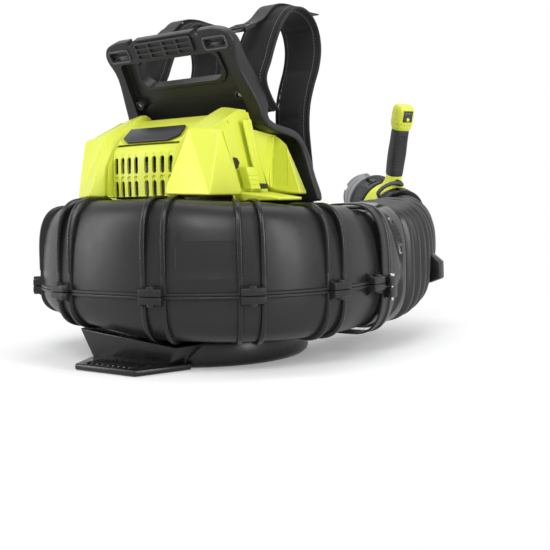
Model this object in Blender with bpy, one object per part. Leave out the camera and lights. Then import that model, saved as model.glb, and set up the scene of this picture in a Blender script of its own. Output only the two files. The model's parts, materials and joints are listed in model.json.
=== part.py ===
"""Backpack leaf blower.

A ring-shaped air duct wraps round the back of a fan drum that stands on the ground. A lime housing
with two side battery bays sits on top, a moulded frame with a carry handle and shoulder straps
faces the wearer, and a tapered bellows leads the air to a tube with a pistol-style control handle.

Everything is in millimetres until a vertex is written, where MM turns it into metres.
+Z is up, +Y is the wearer's side, +X is the outlet's side. The origin is on the impeller's axis,
at the level of the ground.
"""
import math

import bmesh
import bpy
from mathutils import Matrix, Vector

MM = 0.001
GAP = 0.3                       # clearance between pieces that touch

# Fan drum, the fan case on it and what turns in them
DRUM_RADIUS = 145
DRUM_HEIGHT = 33
DRUM_FLOOR = 5
DRUM_FRONT_Y = 94               # flat side, just clear of the frame
FAN_RADIUS = 92
FAN_TOP = 200
WALL = 3.2
IMPELLER_RADIUS = 80
IMPELLER_FLOOR = 88
IMPELLER_HEIGHT = 46
BLADE_COUNT = 9
SHAFT_RADIUS = 6
SHAFT_SHOULDER = 142            # where the shaft narrows to its thread
MOTOR_RADIUS = 54
MOTOR_TOP = 74
STATOR_SLOTS = 12
THROAT_HALF_WIDTH = 32          # window from the fan case into the duct
THROAT_Z = (112, 176)

# Ring duct: the outer line is a superellipse at the seam between the two halves
RING_HALF_WIDTH = 236
RING_DEPTH = 223
RING_CENTRE_Y = 25
RING_POWER = 2.2
RING_LEFT_END = 50
RING_OUTLET_END = 75
SEAM_Z = 96
SEAM_LIP = (4.0, 3.4)           # outwards, up
UPPER_POWER = 3.0               # squareness of the two halves' sections
LOWER_POWER = 2.5
DUCT_STEPS = 8                  # points over one half of the duct's section
# bearing from the back in degrees, lowest point, highest point, width between the walls
SECTIONS = ((-90, 66, 196, 84), (-48, 62, 201, 86), (-19, 51, 211, 90), (19, 38, 211, 92),
            (48, 36, 205, 94), (76, 35, 198, 96), (90, 34, 198, 98))
OUTLET_SECTION = (34, 192, 98)  # lowest, highest and width past the last ribs
LUG_BEARINGS = (-76, -48, -19, 19, 48, 76)
OUTLET_LUG_Y = 52
LUG_SIZE = (30, 13, 13)         # along the duct, outwards, up
LUG_SCREW_INSET = 8
RIB_HALF_SPACING = 13           # a pair of ribs runs round the duct at every lug but the outlet's
RIB_WIDTH = 6
RIB_RISE = 3.5
DIVISION_BEARING = 24           # where the left and right shells meet, just past a pair of ribs

# Foot bracket
FOOT_BACK_Y = -200
FOOT_HALF_BACK = 50
FOOT_HALF_FRONT = 80
FOOT_THICKNESS = 8
FOOT_FRONT_Y = -128
COLUMN_RISE = (41, 27)          # at the left and right, as the duct above it slopes

# Lime housing, battery bays
BAY_INNER_X = 95
BAY_Y = (-55, 26)
BAY_FLOOR_Z = 219
BAY_BOTTOM_Z = 206
LATCH_Y = (13.5, 28)            # from the bay's back wall
LATCH_Z = (226, 248)

# Backpack frame: side profile (y, z) from the foot to the top edge, with the half width there
# and the depth, which is more where side rails stand round a sunken middle
FRAME_THICKNESS = 13
FRAME_BACK_Y = 101
FRAME_LINE = ((101, 34, 92, 13), (101, 60, 106, 13), (101, 120, 115, 13), (101, 196, 117, 13),
              (101, 207, 134, 13), (101, 240, 124, 13), (99, 264, 118, 13), (90, 283, 115, 13),
              (68, 297, 115, 13), (1, 309, 117, 13), (-17, 338, 115, 26), (-46, 385, 105, 26),
              (-62, 410, 110, 17), (-69, 421.5, 106, 13), (-72.5, 427, 98, 12), (-74.4, 430, 84, 12))
FRAME_FOLD = Vector((0, 3, 306))
FRAME_TOP = Vector((0, -74.4, 430))
FRAME_FLOOR = -6.5              # level of the sunken middle, from the frame's middle surface
BOSS_X = 87
BOSS_HEIGHT = 347
SPOKE_HALF = 1                  # half the thickness of the webs that hold a boss
SLOT_X = 82

# Outlet, hose and tube
DUCT_MOUTH = (187, 113, 49, 79, 3.2)      # centre x and z, half width and height, squareness
CUFF_END = Vector((163, 158, 115))
HOSE_PIVOT = Vector((163, 190, 122))
# handles of the curves along the hose's outer and inner side, before they reach the hose end
HOSE_OUTER = (Vector((237, 158, 115)), Vector((241, 254, 114)), Vector((205, 356, 146)))
HOSE_INNER = (Vector((89, 158, 115)), Vector((89, 232, 114)), Vector((118, 330, 152)))
HOSE_ROWS = ((0, 81, 3.4), (0.25, 80, 3.0), (0.45, 73, 2.5), (0.65, 59, 2.2), (0.85, 44, 2.0), (1, 38, 2.0))
HOSE_END_RADIUS = 38
TUBE_AXIS = Vector((-0.79, 0.53, 0.30)).normalized()
TUBE_CENTRE = Vector((94, 398, 186))      # where the handle is clamped
TUBE_UP = (Vector((0, 0, 1)) - TUBE_AXIS * TUBE_AXIS.z).normalized()
TUBE_SIDE = TUBE_AXIS.cross(TUBE_UP)
TUBE_RADIUS = 36
HOSE_END_STATION = -38
SOCKET_END = 98
CLAMP_RADIUS = 46
# along the tube, across it and above its axis, from the handle's foot to the clamp's outside
CABLE_ROUTE = ((-25.4, 0, 53), (-28.4, 0, 53.1), (-31, -4, 55), (-32, -12, 57), (-31, -21, 56), (-30, -31, 51.5),
               (-29, -39, 44.5), (-28.6, -42, 38), (-28.5, -36.5, 30.5))
RELIEF_UP = 53                  # height of the cable's strain relief above the tube's axis
CONVOLUTIONS = 12

PLASTIC_BLACK = ("satin_black", (0.030, 0.031, 0.033), 0.42, 0.0)
GLOSS_BLACK = ("gloss_black", (0.020, 0.021, 0.023), 0.22, 0.0)
LIME = ("lime", (0.66, 0.75, 0.07), 0.34, 0.0)
RUBBER = ("rubber", (0.035, 0.036, 0.038), 0.75, 0.0)
GREY = ("light_grey", (0.42, 0.43, 0.44), 0.40, 0.0)
DARK_GREY = ("dark_grey", (0.11, 0.115, 0.12), 0.45, 0.0)
FABRIC = ("fabric", (0.028, 0.029, 0.031), 0.90, 0.0)
STEEL = ("steel", (0.55, 0.56, 0.58), 0.32, 1.0)
COPPER = ("copper", (0.72, 0.37, 0.20), 0.35, 1.0)
BOARD = ("circuit_board", (0.03, 0.16, 0.08), 0.50, 0.0)
ALUMINIUM = ("aluminium", (0.72, 0.73, 0.75), 0.38, 1.0)


def clear_scene():
    for old in list(bpy.data.objects):
        bpy.data.objects.remove(old, do_unlink=True)


def material(finish):
    name, colour, roughness, metallic = finish
    found = bpy.data.materials.get(name)
    if found:
        return found
    made = bpy.data.materials.new(name)
    made.use_nodes = True
    shader = made.node_tree.nodes["Principled BSDF"]
    shader.inputs["Base Color"].default_value = (*colour, 1.0)
    shader.inputs["Roughness"].default_value = roughness
    shader.inputs["Metallic"].default_value = metallic
    return made


def add_object(name, shape, finish, origin=Vector((0, 0, 0))):
    """Turn a bmesh in millimetres into a named object whose origin is at the given point."""
    bmesh.ops.recalc_face_normals(shape, faces=shape.faces)
    for vertex in shape.verts:
        vertex.co = (vertex.co - origin) * MM
    mesh = bpy.data.meshes.new(name)
    shape.to_mesh(mesh)
    shape.free()
    mesh.materials.append(material(finish))
    mesh.shade_smooth()
    mesh.set_sharp_from_angle(angle=math.radians(35))
    made = bpy.data.objects.new(name, mesh)
    made.location = origin * MM
    bpy.context.scene.collection.objects.link(made)
    return made


def guide(name, shape):
    """An object that only cuts or adds to another."""
    made = add_object(name, shape, PLASTIC_BLACK)
    made.hide_render = True
    made.display_type = "WIRE"
    return made


def combine(target, tool, operation, overlapping=False):
    change = target.modifiers.new(operation.title(), "BOOLEAN")
    change.operation = operation
    change.solver = "EXACT"
    change.use_self = overlapping
    change.object = tool


def cut(target, shape, name="cutter"):
    combine(target, guide(target.name + "_" + name, shape), "DIFFERENCE")


def join(target, shape, name="addition", overlapping=False):
    combine(target, guide(target.name + "_" + name, shape), "UNION", overlapping)


def loft(shape, rings, closed=False):
    """Skin a list of loops of equal length; caps the ends, or meets the first ring again."""
    made = [[shape.verts.new(Vector(point)) for point in ring] for ring in rings]
    count = len(made[0])
    pairs = list(zip(made, made[1:]))
    if closed:
        pairs.append((made[-1], made[0]))
    for low, high in pairs:
        for i in range(count):
            j = (i + 1) % count
            shape.faces.new((low[i], low[j], high[j], high[i]))
    if not closed:
        shape.faces.new(made[0][::-1])
        shape.faces.new(made[-1])
    return made


def lofted(rings, closed=False):
    shape = bmesh.new()
    loft(shape, rings, closed)
    return shape


def circle(centre, along, radius, count):
    along = along.normalized()
    side = along.orthogonal().normalized()
    other = along.cross(side)
    turns = (2 * math.pi * i / count for i in range(count))
    return [centre + (side * math.cos(a) + other * math.sin(a)) * radius for a in turns]


def turned(profile, count=32, centre=Vector((0, 0, 0)), along=Vector((0, 0, 1)), closed=False):
    """A turned solid; the profile is (radius, distance along the axis)."""
    along = along.normalized()
    rings = [circle(centre + along * height, along, radius, count) for radius, height in profile]
    return lofted(rings, closed)


def tube_shape(inner, outer, low, high, count=32, centre=Vector((0, 0, 0)), along=Vector((0, 0, 1))):
    profile = ((inner, low), (outer, low), (outer, high), (inner, high))
    return turned(profile, count, centre, along, closed=True)


def box(shape, low, high):
    (x0, y0, z0), (x1, y1, z1) = low, high
    lower = ((x0, y0, z0), (x1, y0, z0), (x1, y1, z0), (x0, y1, z0))
    loft(shape, (lower, [(x, y, z1) for x, y, z in lower]))


def boxes(*corners):
    shape = bmesh.new()
    for low, high in corners:
        box(shape, low, high)
    return shape


def hull(points):
    shape = bmesh.new()
    for point in points:
        shape.verts.new(Vector(point))
    made = bmesh.ops.convex_hull(shape, input=shape.verts)
    loose = [item for item in made["geom_interior"] if isinstance(item, bmesh.types.BMVert)]
    bmesh.ops.delete(shape, geom=loose, context="VERTS")
    bmesh.ops.dissolve_limit(shape, angle_limit=math.radians(0.5), verts=shape.verts, edges=shape.edges)
    return shape


def both_sides(points):
    return [(side * x, y, z) for x, y, z in points for side in (1, -1)]


def mirrored(points, side):
    return [(side * x, y, z) for x, y, z in points]


def rounded_box(low, high, radius, name, finish, segments=2):
    made = add_object(name, boxes((low, high)), finish)
    edge = made.modifiers.new("Rounding", "BEVEL")
    edge.width = radius * MM
    edge.segments = segments
    edge.limit_method = "ANGLE"
    return made


def cylinder_group(places, along, radius, low, high, count=12):
    shape = bmesh.new()
    for place in places:
        place = Vector(place)
        rings = [circle(place + along * level, along, radius, count) for level in (low, high)]
        loft(shape, rings)
    return shape


def smooth_table(table, at):
    """Values from a table whose first column is the position, eased between its rows."""
    if at <= table[0][0]:
        return table[0][1:]
    for low, high in zip(table, table[1:]):
        if at <= high[0]:
            share = (at - low[0]) / (high[0] - low[0])
            share = share * share * (3 - 2 * share)
            return [a + (b - a) * share for a, b in zip(low[1:], high[1:])]
    return table[-1][1:]


# ---------------------------------------------------------------- ring duct

def ring_place(bearing):
    """Outer point of the ring at the seam, seen from the ring's centre; 0 is the back."""
    angle = math.radians(bearing)
    x_share = abs(math.sin(angle)) / RING_HALF_WIDTH
    y_share = abs(math.cos(angle)) / RING_DEPTH
    reach = (x_share ** RING_POWER + y_share ** RING_POWER) ** (-1 / RING_POWER)
    return Vector((reach * math.sin(angle), RING_CENTRE_Y - reach * math.cos(angle), 0))


def ring_frame(bearing):
    """Place and inward direction on the ring."""
    if abs(bearing) >= 89.9:
        side = math.copysign(1, bearing)
        return Vector((side * RING_HALF_WIDTH, RING_CENTRE_Y, 0)), Vector((-side, 0, 0))
    step = 0.5
    ahead = ring_place(bearing + step) - ring_place(bearing - step)
    inward = Vector((-ahead.y, ahead.x, 0)).normalized()
    return ring_place(bearing), inward


def duct_half(width, height, power, up, rise=0.0):
    """Closed section of one shell half as (inset, level) pairs, wall and seam lip included."""
    def arch(inset, reach):
        points = []
        for i in range(DUCT_STEPS + 1):
            angle = math.pi * i / DUCT_STEPS
            across = math.copysign(abs(math.cos(angle)) ** (2 / power), math.cos(angle))
            level = (height + reach) * abs(math.sin(angle)) ** (2 / power)
            points.append((width / 2 - (width / 2 + reach) * across + inset, up * (level + GAP / 2)))
        return points
    lip_out, lip_up = SEAM_LIP
    lip = [(-lip_out, up * GAP / 2), (-lip_out, up * lip_up), (-rise, up * lip_up)]
    outer = arch(0, rise)[1:-1]
    outer_foot = [(width, up * lip_up), (width, up * GAP / 2)]
    inner = arch(0, -WALL)
    return lip + outer + outer_foot + inner[::-1]


def ring_stations(right):
    """(place, inward, bottom, top, width, rib rise) along the right or the left part of the duct."""
    stations = []

    def add(bearing, shift, rise):
        place, inward = ring_frame(bearing)
        low, high, width = smooth_table(SECTIONS, bearing)
        stations.append((place + Vector((0, shift, 0)), inward, low, high, width, rise))

    per_degree = RING_DEPTH * math.radians(1)
    ribs = []
    for bearing in LUG_BEARINGS:
        for side in (-1, 1):
            middle = bearing + side * RIB_HALF_SPACING / per_degree
            half = RIB_WIDTH / 2 / per_degree
            ribs += [(middle - half, 0), (middle, RIB_RISE), (middle + half, 0)]
    plain = [(bearing, 0) for bearing in range(-90, 91, 10)
             if all(abs(bearing - edge) > 2 for edge, _ in ribs)]
    half_gap = GAP / 2 / per_degree
    if not right:
        add(-90, RING_LEFT_END - RING_CENTRE_Y, 0)
        plain = [(bearing, rise) for bearing, rise in plain if bearing < DIVISION_BEARING]
        ribs = [(bearing, rise) for bearing, rise in ribs if bearing < DIVISION_BEARING]
        plain.append((DIVISION_BEARING - half_gap, 0))
    else:
        plain = [(bearing, rise) for bearing, rise in plain if bearing > DIVISION_BEARING]
        ribs = [(bearing, rise) for bearing, rise in ribs if bearing > DIVISION_BEARING]
        plain.append((DIVISION_BEARING + half_gap, 0))
    for bearing, rise in sorted(ribs + plain):
        add(bearing, 0, rise)
    if right:
        place, inward = ring_frame(90)
        add(90, OUTLET_LUG_Y - 13 - RING_CENTRE_Y, 0)
        for y in (OUTLET_LUG_Y - 9, RING_OUTLET_END):
            stations.append((Vector((place.x, y, 0)), inward, *OUTLET_SECTION, 0))
    return stations


def ring_shell(name, right, up, power):
    rings = []
    for place, inward, low, high, width, rise in ring_stations(right):
        height = (high - SEAM_Z) if up > 0 else (SEAM_Z - low)
        section = duct_half(width, height, power, up, rise)
        rings.append([place + inward * inset + Vector((0, 0, SEAM_Z + level)) for inset, level in section])
    return add_object(name, lofted(rings), PLASTIC_BLACK)


def lug_places(right):
    bearings = [bearing for bearing in LUG_BEARINGS if (bearing > DIVISION_BEARING) == right]
    places = [ring_frame(bearing) for bearing in bearings]
    if right:
        outlet, inward = ring_frame(90)
        places.append((Vector((outlet.x, OUTLET_LUG_Y, 0)), inward))
    return places


def lug_blocks(right, up):
    """A square block outside the seam at each screw, with a sloped back on its far side."""
    length, reach, height = LUG_SIZE
    shape = bmesh.new()
    for place, inward in lug_places(right):
        along = Vector((-inward.y, inward.x, 0))
        rings = []
        for inset, level in ((1.5, GAP / 2), (-reach, GAP / 2), (-reach, height - 2), (1.5, height + 4)):
            edge = place + inward * inset + Vector((0, 0, SEAM_Z + up * level))
            rings.append((edge - along * length / 2, edge + along * length / 2))
        first = [pair[0] for pair in rings]
        loft(shape, (first, [pair[1] for pair in rings]))
    return shape


def build_ring():
    for right, side in ((False, "left"), (True, "right")):
        screws = [place - inward * LUG_SCREW_INSET + Vector((0, 0, SEAM_Z))
                  for place, inward in lug_places(right)]
        for up, level, power in ((1, "upper", UPPER_POWER), (-1, "lower", LOWER_POWER)):
            shell = ring_shell("ring_duct_" + level + "_" + side, right, up, power)
            join(shell, lug_blocks(right, up), "lugs")
            cut(shell, cylinder_group(screws, Vector((0, 0, 1)), 2.3, -30, 30, 10), "screw_holes")
    low, high = THROAT_Z
    cut(bpy.data.objects["ring_duct_upper_left"],
        boxes(((-162, -THROAT_HALF_WIDTH, low), (-142, THROAT_HALF_WIDTH, high))), "throat_window")

    x = -RING_HALF_WIDTH
    cap = [(x + inset, RING_LEFT_END + GAP, SEAM_Z + level) for inset, level in cap_outline()]
    add_object("duct_end_cap", lofted((cap, [(a, RING_LEFT_END + 4, c) for a, b, c in cap])), PLASTIC_BLACK)

    near, far = -FAN_RADIUS + 1.5, -RING_HALF_WIDTH + SECTIONS[0][3] - 1.5
    rings = []
    for x, inset in ((near, 3.5), (near, 0.5), (far, 0.5), (far, 3.5)):
        half = THROAT_HALF_WIDTH - inset
        rings.append([(x, -half, low + inset), (x, half, low + inset), (x, half, high - inset),
                      (x, -half, high - inset)])
    add_object("duct_throat", lofted(rings, closed=True), PLASTIC_BLACK)


def cap_outline():
    low, high, width = SECTIONS[0][1:]
    points = []
    for up, height, power in ((1, high - SEAM_Z, UPPER_POWER), (-1, SEAM_Z - low, LOWER_POWER)):
        for i in range(1, DUCT_STEPS):
            angle = math.pi * i / DUCT_STEPS
            across = math.copysign(abs(math.cos(angle)) ** (2 / power), math.cos(angle))
            across = across if up > 0 else -across
            points.append((width / 2 - width / 2 * across, up * height * math.sin(angle) ** (2 / power)))
    return points


# ---------------------------------------------------------------- drum, fan and motor

def build_drum():
    rim = DRUM_RADIUS - WALL - 4
    roof = DRUM_HEIGHT - WALL
    profile = ((DRUM_RADIUS - 6, 0), (DRUM_RADIUS, 6), (DRUM_RADIUS, DRUM_HEIGHT - 4),
               (DRUM_RADIUS - 4, DRUM_HEIGHT), (FAN_RADIUS - WALL, DRUM_HEIGHT), (FAN_RADIUS - WALL, roof),
               (rim, roof), (rim, DRUM_FLOOR))
    drum = add_object("fan_drum", turned(profile, 36), PLASTIC_BLACK)
    front = DRUM_FRONT_Y
    cut(drum, boxes(((-150, front, -5), (150, 200, DRUM_HEIGHT + 5))), "flat_front")
    wide = math.sqrt(DRUM_RADIUS ** 2 - front ** 2) - 3
    join(drum, boxes(((-wide, front - WALL, 3), (wide, front, DRUM_HEIGHT - 1))), "front_wall")

    case = add_object("fan_case", tube_shape(FAN_RADIUS - WALL, FAN_RADIUS, DRUM_HEIGHT + GAP, FAN_TOP, 36),
                      PLASTIC_BLACK)
    low, high = THROAT_Z
    cut(case, boxes(((-104, -THROAT_HALF_WIDTH, low), (-70, THROAT_HALF_WIDTH, high))), "window")

    plate = ((-FOOT_HALF_BACK, FOOT_BACK_Y), (FOOT_HALF_BACK, FOOT_BACK_Y), (FOOT_HALF_FRONT, FOOT_FRONT_Y),
             (-FOOT_HALF_FRONT, FOOT_FRONT_Y))
    foot = add_object("foot_bracket", lofted([[(x, y, z) for x, y in plate] for z in (0, FOOT_THICKNESS)]),
                      PLASTIC_BLACK)
    column = [[(-half, back, 4 + left), (half, back, 4 + right), (half + 8, -110, 4 + right),
               (-half - 8, -110, 4 + left)]
              for half, back, left, right in ((62, -153, 0, 0), (82, -158, COLUMN_RISE[0], COLUMN_RISE[1]))]
    join(foot, lofted(column), "column")
    cut(foot, turned(((DRUM_RADIUS + GAP, -5), (DRUM_RADIUS + GAP, DRUM_HEIGHT + 20)), 36), "drum_seat")
    treads = [((x - 3, FOOT_BACK_Y + 8, FOOT_THICKNESS - 1.2), (x + 3, FOOT_BACK_Y + 34, FOOT_THICKNESS + 2))
              for x in range(-36, 37, 12)]
    cut(foot, boxes(*treads), "treads")

    rim = FAN_RADIUS - WALL - GAP
    deck = ((49, 148), (rim, 154), (rim, 158), (56, 158), (46, 150), (46, 143), (49, 143))
    add_object("inlet_deck", turned(deck, 36, closed=True), DARK_GREY)


def build_motor():
    floor = DRUM_FLOOR + GAP
    wall = MOTOR_RADIUS - 3.5
    can = ((20, floor), (MOTOR_RADIUS, floor), (MOTOR_RADIUS, MOTOR_TOP), (12.5, MOTOR_TOP),
           (12.5, MOTOR_TOP - 4), (wall, MOTOR_TOP - 4), (wall, 9), (20, 9))
    add_object("motor_can", turned(can, 24, closed=True), ALUMINIUM)
    stator = add_object("motor_stator", tube_shape(31, wall - 0.5, 18, 60, 24), COPPER)
    slots = bmesh.new()
    for i in range(STATOR_SLOTS):
        turn = Matrix.Rotation(2 * math.pi * i / STATOR_SLOTS, 3, "Z")
        corners = [(29, -2), (43, -4.5), (43, 4.5), (29, 2)]
        loft(slots, [[turn @ Vector((x, y, z)) for x, y in corners] for z in (10, 70)])
    cut(stator, slots, "slots")
    add_object("motor_rotor", tube_shape(SHAFT_RADIUS + 2 * GAP, 30, 20, 58, 24), STEEL)
    thread = SHAFT_RADIUS - 2
    shaft = ((3, 5.6), (SHAFT_RADIUS, 6.6), (SHAFT_RADIUS, SHAFT_SHOULDER), (thread, SHAFT_SHOULDER),
             (thread, SHAFT_SHOULDER + 10))
    add_object("rotor_shaft", turned(shaft, 20), STEEL)
    for name, low, high in (("bearing_lower", 9 + GAP, 17), ("bearing_upper", 62, 69.6)):
        add_object(name, tube_shape(SHAFT_RADIUS + 0.1, 16, low, high, 24), STEEL)

    low, top = IMPELLER_FLOOR, IMPELLER_FLOOR + IMPELLER_HEIGHT
    hub = ((SHAFT_RADIUS + GAP, low), (IMPELLER_RADIUS, low), (IMPELLER_RADIUS, low + 3), (40, low + 5),
           (20, top), (SHAFT_RADIUS + GAP, top))
    impeller = add_object("impeller", turned(hub, 30, closed=True), DARK_GREY)
    blades = bmesh.new()
    for i in range(BLADE_COUNT):
        turn = Matrix.Rotation(2 * math.pi * i / BLADE_COUNT, 3, "Z")
        outline = []
        for side in (1.2, -1.2):
            line = [(28 + 50 * share, 24 * share * share + side) for share in (0, 0.35, 0.7, 1)]
            outline += line if side > 0 else line[::-1]
        loft(blades, [[turn @ Vector((x, y, z)) for x, y in outline] for z in (low + 2, top - 2)])
    join(impeller, blades, "blades")
    cut(impeller, tube_shape(52, 130, top - 4, top + 30, 30), "blade_tips")
    cut(impeller, tube_shape(IMPELLER_RADIUS + 0.5, 140, low - 5, top + 30, 30), "rim")
    nut = SHAFT_SHOULDER
    add_object("impeller_nut", turned(((5, nut + GAP), (9, nut + GAP), (9, nut + 7), (5, nut + 7)), 6,
                                      closed=True), STEEL)


# ---------------------------------------------------------------- lime housing

FIN = ((69.5, -112, 300), (63, -157, 216), (115, -109, 292), (112, -127, 214), (66.5, -38, 332),
       (109, -38, 323), (57, -118, 214), (58, -80, 306), (112, -60, 214), (68, -19, 326), (95, -19, 326))
WING = ((72, -9, 302), (95, -9, 302), (107, 27, 295.5), (125, 27, 281), (147, 27, 214), (72, 34, 214),
        (72, 37, 293), (107, 37, 292), (120, 37, 281), (130, 72, 214), (72, 84, 214), (110, 72, 258),
        (72, 80, 256))
# plan of the hollow in the wing's face, between its top and its foot
SCOOP = ((98, 20), (101, 34), (122, 34), (133, 20))
SCOOP_Z = (BAY_FLOOR_Z + 2, 300)
CORE = ((57, -131, 214), (57, -127, 256), (57, -109, 285), (57, -84, 307), (57, -42, 322), (72, -42, 321),
        (72, 60, 257), (72, 84, 246), (72, 92, 238), (72, 92, 214))
CAVITY = ((53, -122, 200), (53, -118, 254), (53, -102, 280), (60, -60, 306), (60, -38, 310),
          (60, 54, 250), (60, 86, 232), (60, 86, 200))


def vent_line(out):
    """Side profile of the slotted panel, pushed outwards by a distance."""
    return [(-131 - out, 217), (-135.5 - out, 232), (-134.5 - out, 250), (-127 - out, 268), (-115 - out, 282)]


def build_housing():
    housing = add_object("main_housing", hull(both_sides(CORE)), LIME)
    for side, word in ((-1, "left"), (1, "right")):
        join(housing, hull(mirrored(FIN, side)), "fin_" + word)
        join(housing, hull(mirrored(WING, side)), "wing_" + word)
    cut(housing, hull(both_sides(CAVITY)), "cavity")
    low, high = BAY_Y
    for side, word in ((-1, "left"), (1, "right")):
        x0, x1 = sorted((side * BAY_INNER_X, side * 200))
        cut(housing, boxes(((x0, low, 190), (x1, high, 345))), "bay_" + word)
        cut(housing, lofted([[(side * x, y, z) for x, y in SCOOP] for z in SCOOP_Z]), "scoop_" + word)
    cut(housing, boxes(((-54, -160, 215), (54, -100, 284))), "vent_window")

    outer, inner = vent_line(0), vent_line(-3)
    outline = outer + inner[::-1]
    panel = add_object("vent_panel", lofted([[(x, y, z) for y, z in outline] for x in (-53.6, 53.6)]), LIME)
    slots = []
    for row_low, row_high in ((219, 236), (244, 266)):
        for step in range(4):
            for side in (-1, 1):
                middle = side * (12 + step * 10.4)
                slots.append(((middle - 2.9, -150, row_low), (middle + 2.9, -100, row_high)))
    cut(panel, boxes(*slots), "slots")

    badge = ((-35, 0), (-48, 9), (-47, 29), (47, 29), (48, 9), (35, 0))
    lean = Vector((0, 25, 22)).normalized()
    out = Vector((0, -22, 25)).normalized()
    foot = Vector((0, -109, 285)) + out * GAP
    rings = [[foot + Vector((x, 0, 0)) + lean * s + out * depth for x, s in badge] for depth in (0, 3)]
    add_object("badge_plate", lofted(rings), DARK_GREY)

    board = ((-45, -20, 232), (45, 44, 234))
    add_object("controller_board", boxes(board), BOARD)
    fins = [((-40 + i * 9.5, -16, 235), (-38 + i * 9.5, 40, 256)) for i in range(9)]
    sink = add_object("heat_sink", boxes(((-42, -18, 234 + GAP), (42, 42, 238))), ALUMINIUM)
    join(sink, boxes(*fins), "fins")


def build_bay(side, word):
    low, high = BAY_Y
    inner = BAY_INNER_X

    def span(x0, x1):
        return sorted((side * x0, side * x1))

    side_wall = ((low + GAP, BAY_BOTTOM_Z), (high - GAP, BAY_BOTTOM_Z), (high - GAP, 293), (-10, 299),
                 (-15, 314), (-21, 322), (low + GAP, 322))
    liner = add_object("battery_bay_" + word,
                       lofted([[(x, y, z) for y, z in side_wall] for x in span(inner + GAP, inner + 2.5)]),
                       LIME)
    rails = []
    for y, lip, top in ((low + 2, (1, 10), 310), (high - 14, (-6, 4), 281)):
        x0, x1 = span(inner + 1, inner + 12)
        rails.append(((x0, y, BAY_FLOOR_Z + 2), (x1, y + 5, top)))
        x0, x1 = span(inner + 8, inner + 11.5)
        rails.append(((x0, y + lip[0], BAY_FLOOR_Z + 2.5), (x1, y + lip[1], top - 1)))
    join(liner, boxes(*rails), "rails", overlapping=True)
    bottom = BAY_BOTTOM_Z
    floor = hull(mirrored(((inner + 1, low + GAP, BAY_FLOOR_Z), (inner + 1, high - GAP, BAY_FLOOR_Z),
                           (inner + 1, low + GAP, bottom), (inner + 1, high - GAP, bottom),
                           (160, low + 8, bottom), (150, high - GAP, bottom), (160, low + 8, bottom + 4),
                           (150, high - GAP, bottom + 4)), side))
    join(liner, floor, "floor")
    x0, x1 = span(inner + 3, inner + 14)
    add_object("battery_terminals_" + word, boxes(((x0, -24, BAY_FLOOR_Z + 3), (x1, 6, BAY_FLOOR_Z + 22))),
               DARK_GREY)
    y0, y1 = low + LATCH_Y[0], low + LATCH_Y[1]
    x0, x1 = span(inner + 1, inner + 15)
    join(liner, boxes(((x0, y0, BAY_FLOOR_Z - 3), (x1, y1, LATCH_Z[0] - GAP))), "latch_ledge")
    x0, x1 = span(inner + 6, inner + 25)
    add_object("battery_latch_" + word, boxes(((x0, y0, LATCH_Z[0]), (x1, y1, LATCH_Z[1]))), LIME,
               Vector(((x0 + x1) / 2, (y0 + y1) / 2, LATCH_Z[0])))


# ---------------------------------------------------------------- frame, straps and pads

FRAME_LEAN = (FRAME_TOP - FRAME_FOLD).normalized()
FRAME_OUT = Vector((0, -FRAME_LEAN.z, FRAME_LEAN.y))          # away from the wearer


def on_frame(x, height, out=0.0):
    """A point on the leaning upper frame at a level above ground."""
    climb = (height - FRAME_FOLD.z) / FRAME_LEAN.z
    return FRAME_FOLD + FRAME_LEAN * climb + FRAME_OUT * out + Vector((x, 0, 0))


def both_ways(points):
    """Mirror an outline of (x, height) points, listed up the right side, to a closed one."""
    return [(-x, height) for x, height in points] + [(x, height) for x, height in points[::-1]]


def slanted(points, low, high):
    """Prism across the leaning frame whose outline is (x, height above ground)."""
    return lofted([[on_frame(x, z, out) for x, z in points] for out in (low, high)])


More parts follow.
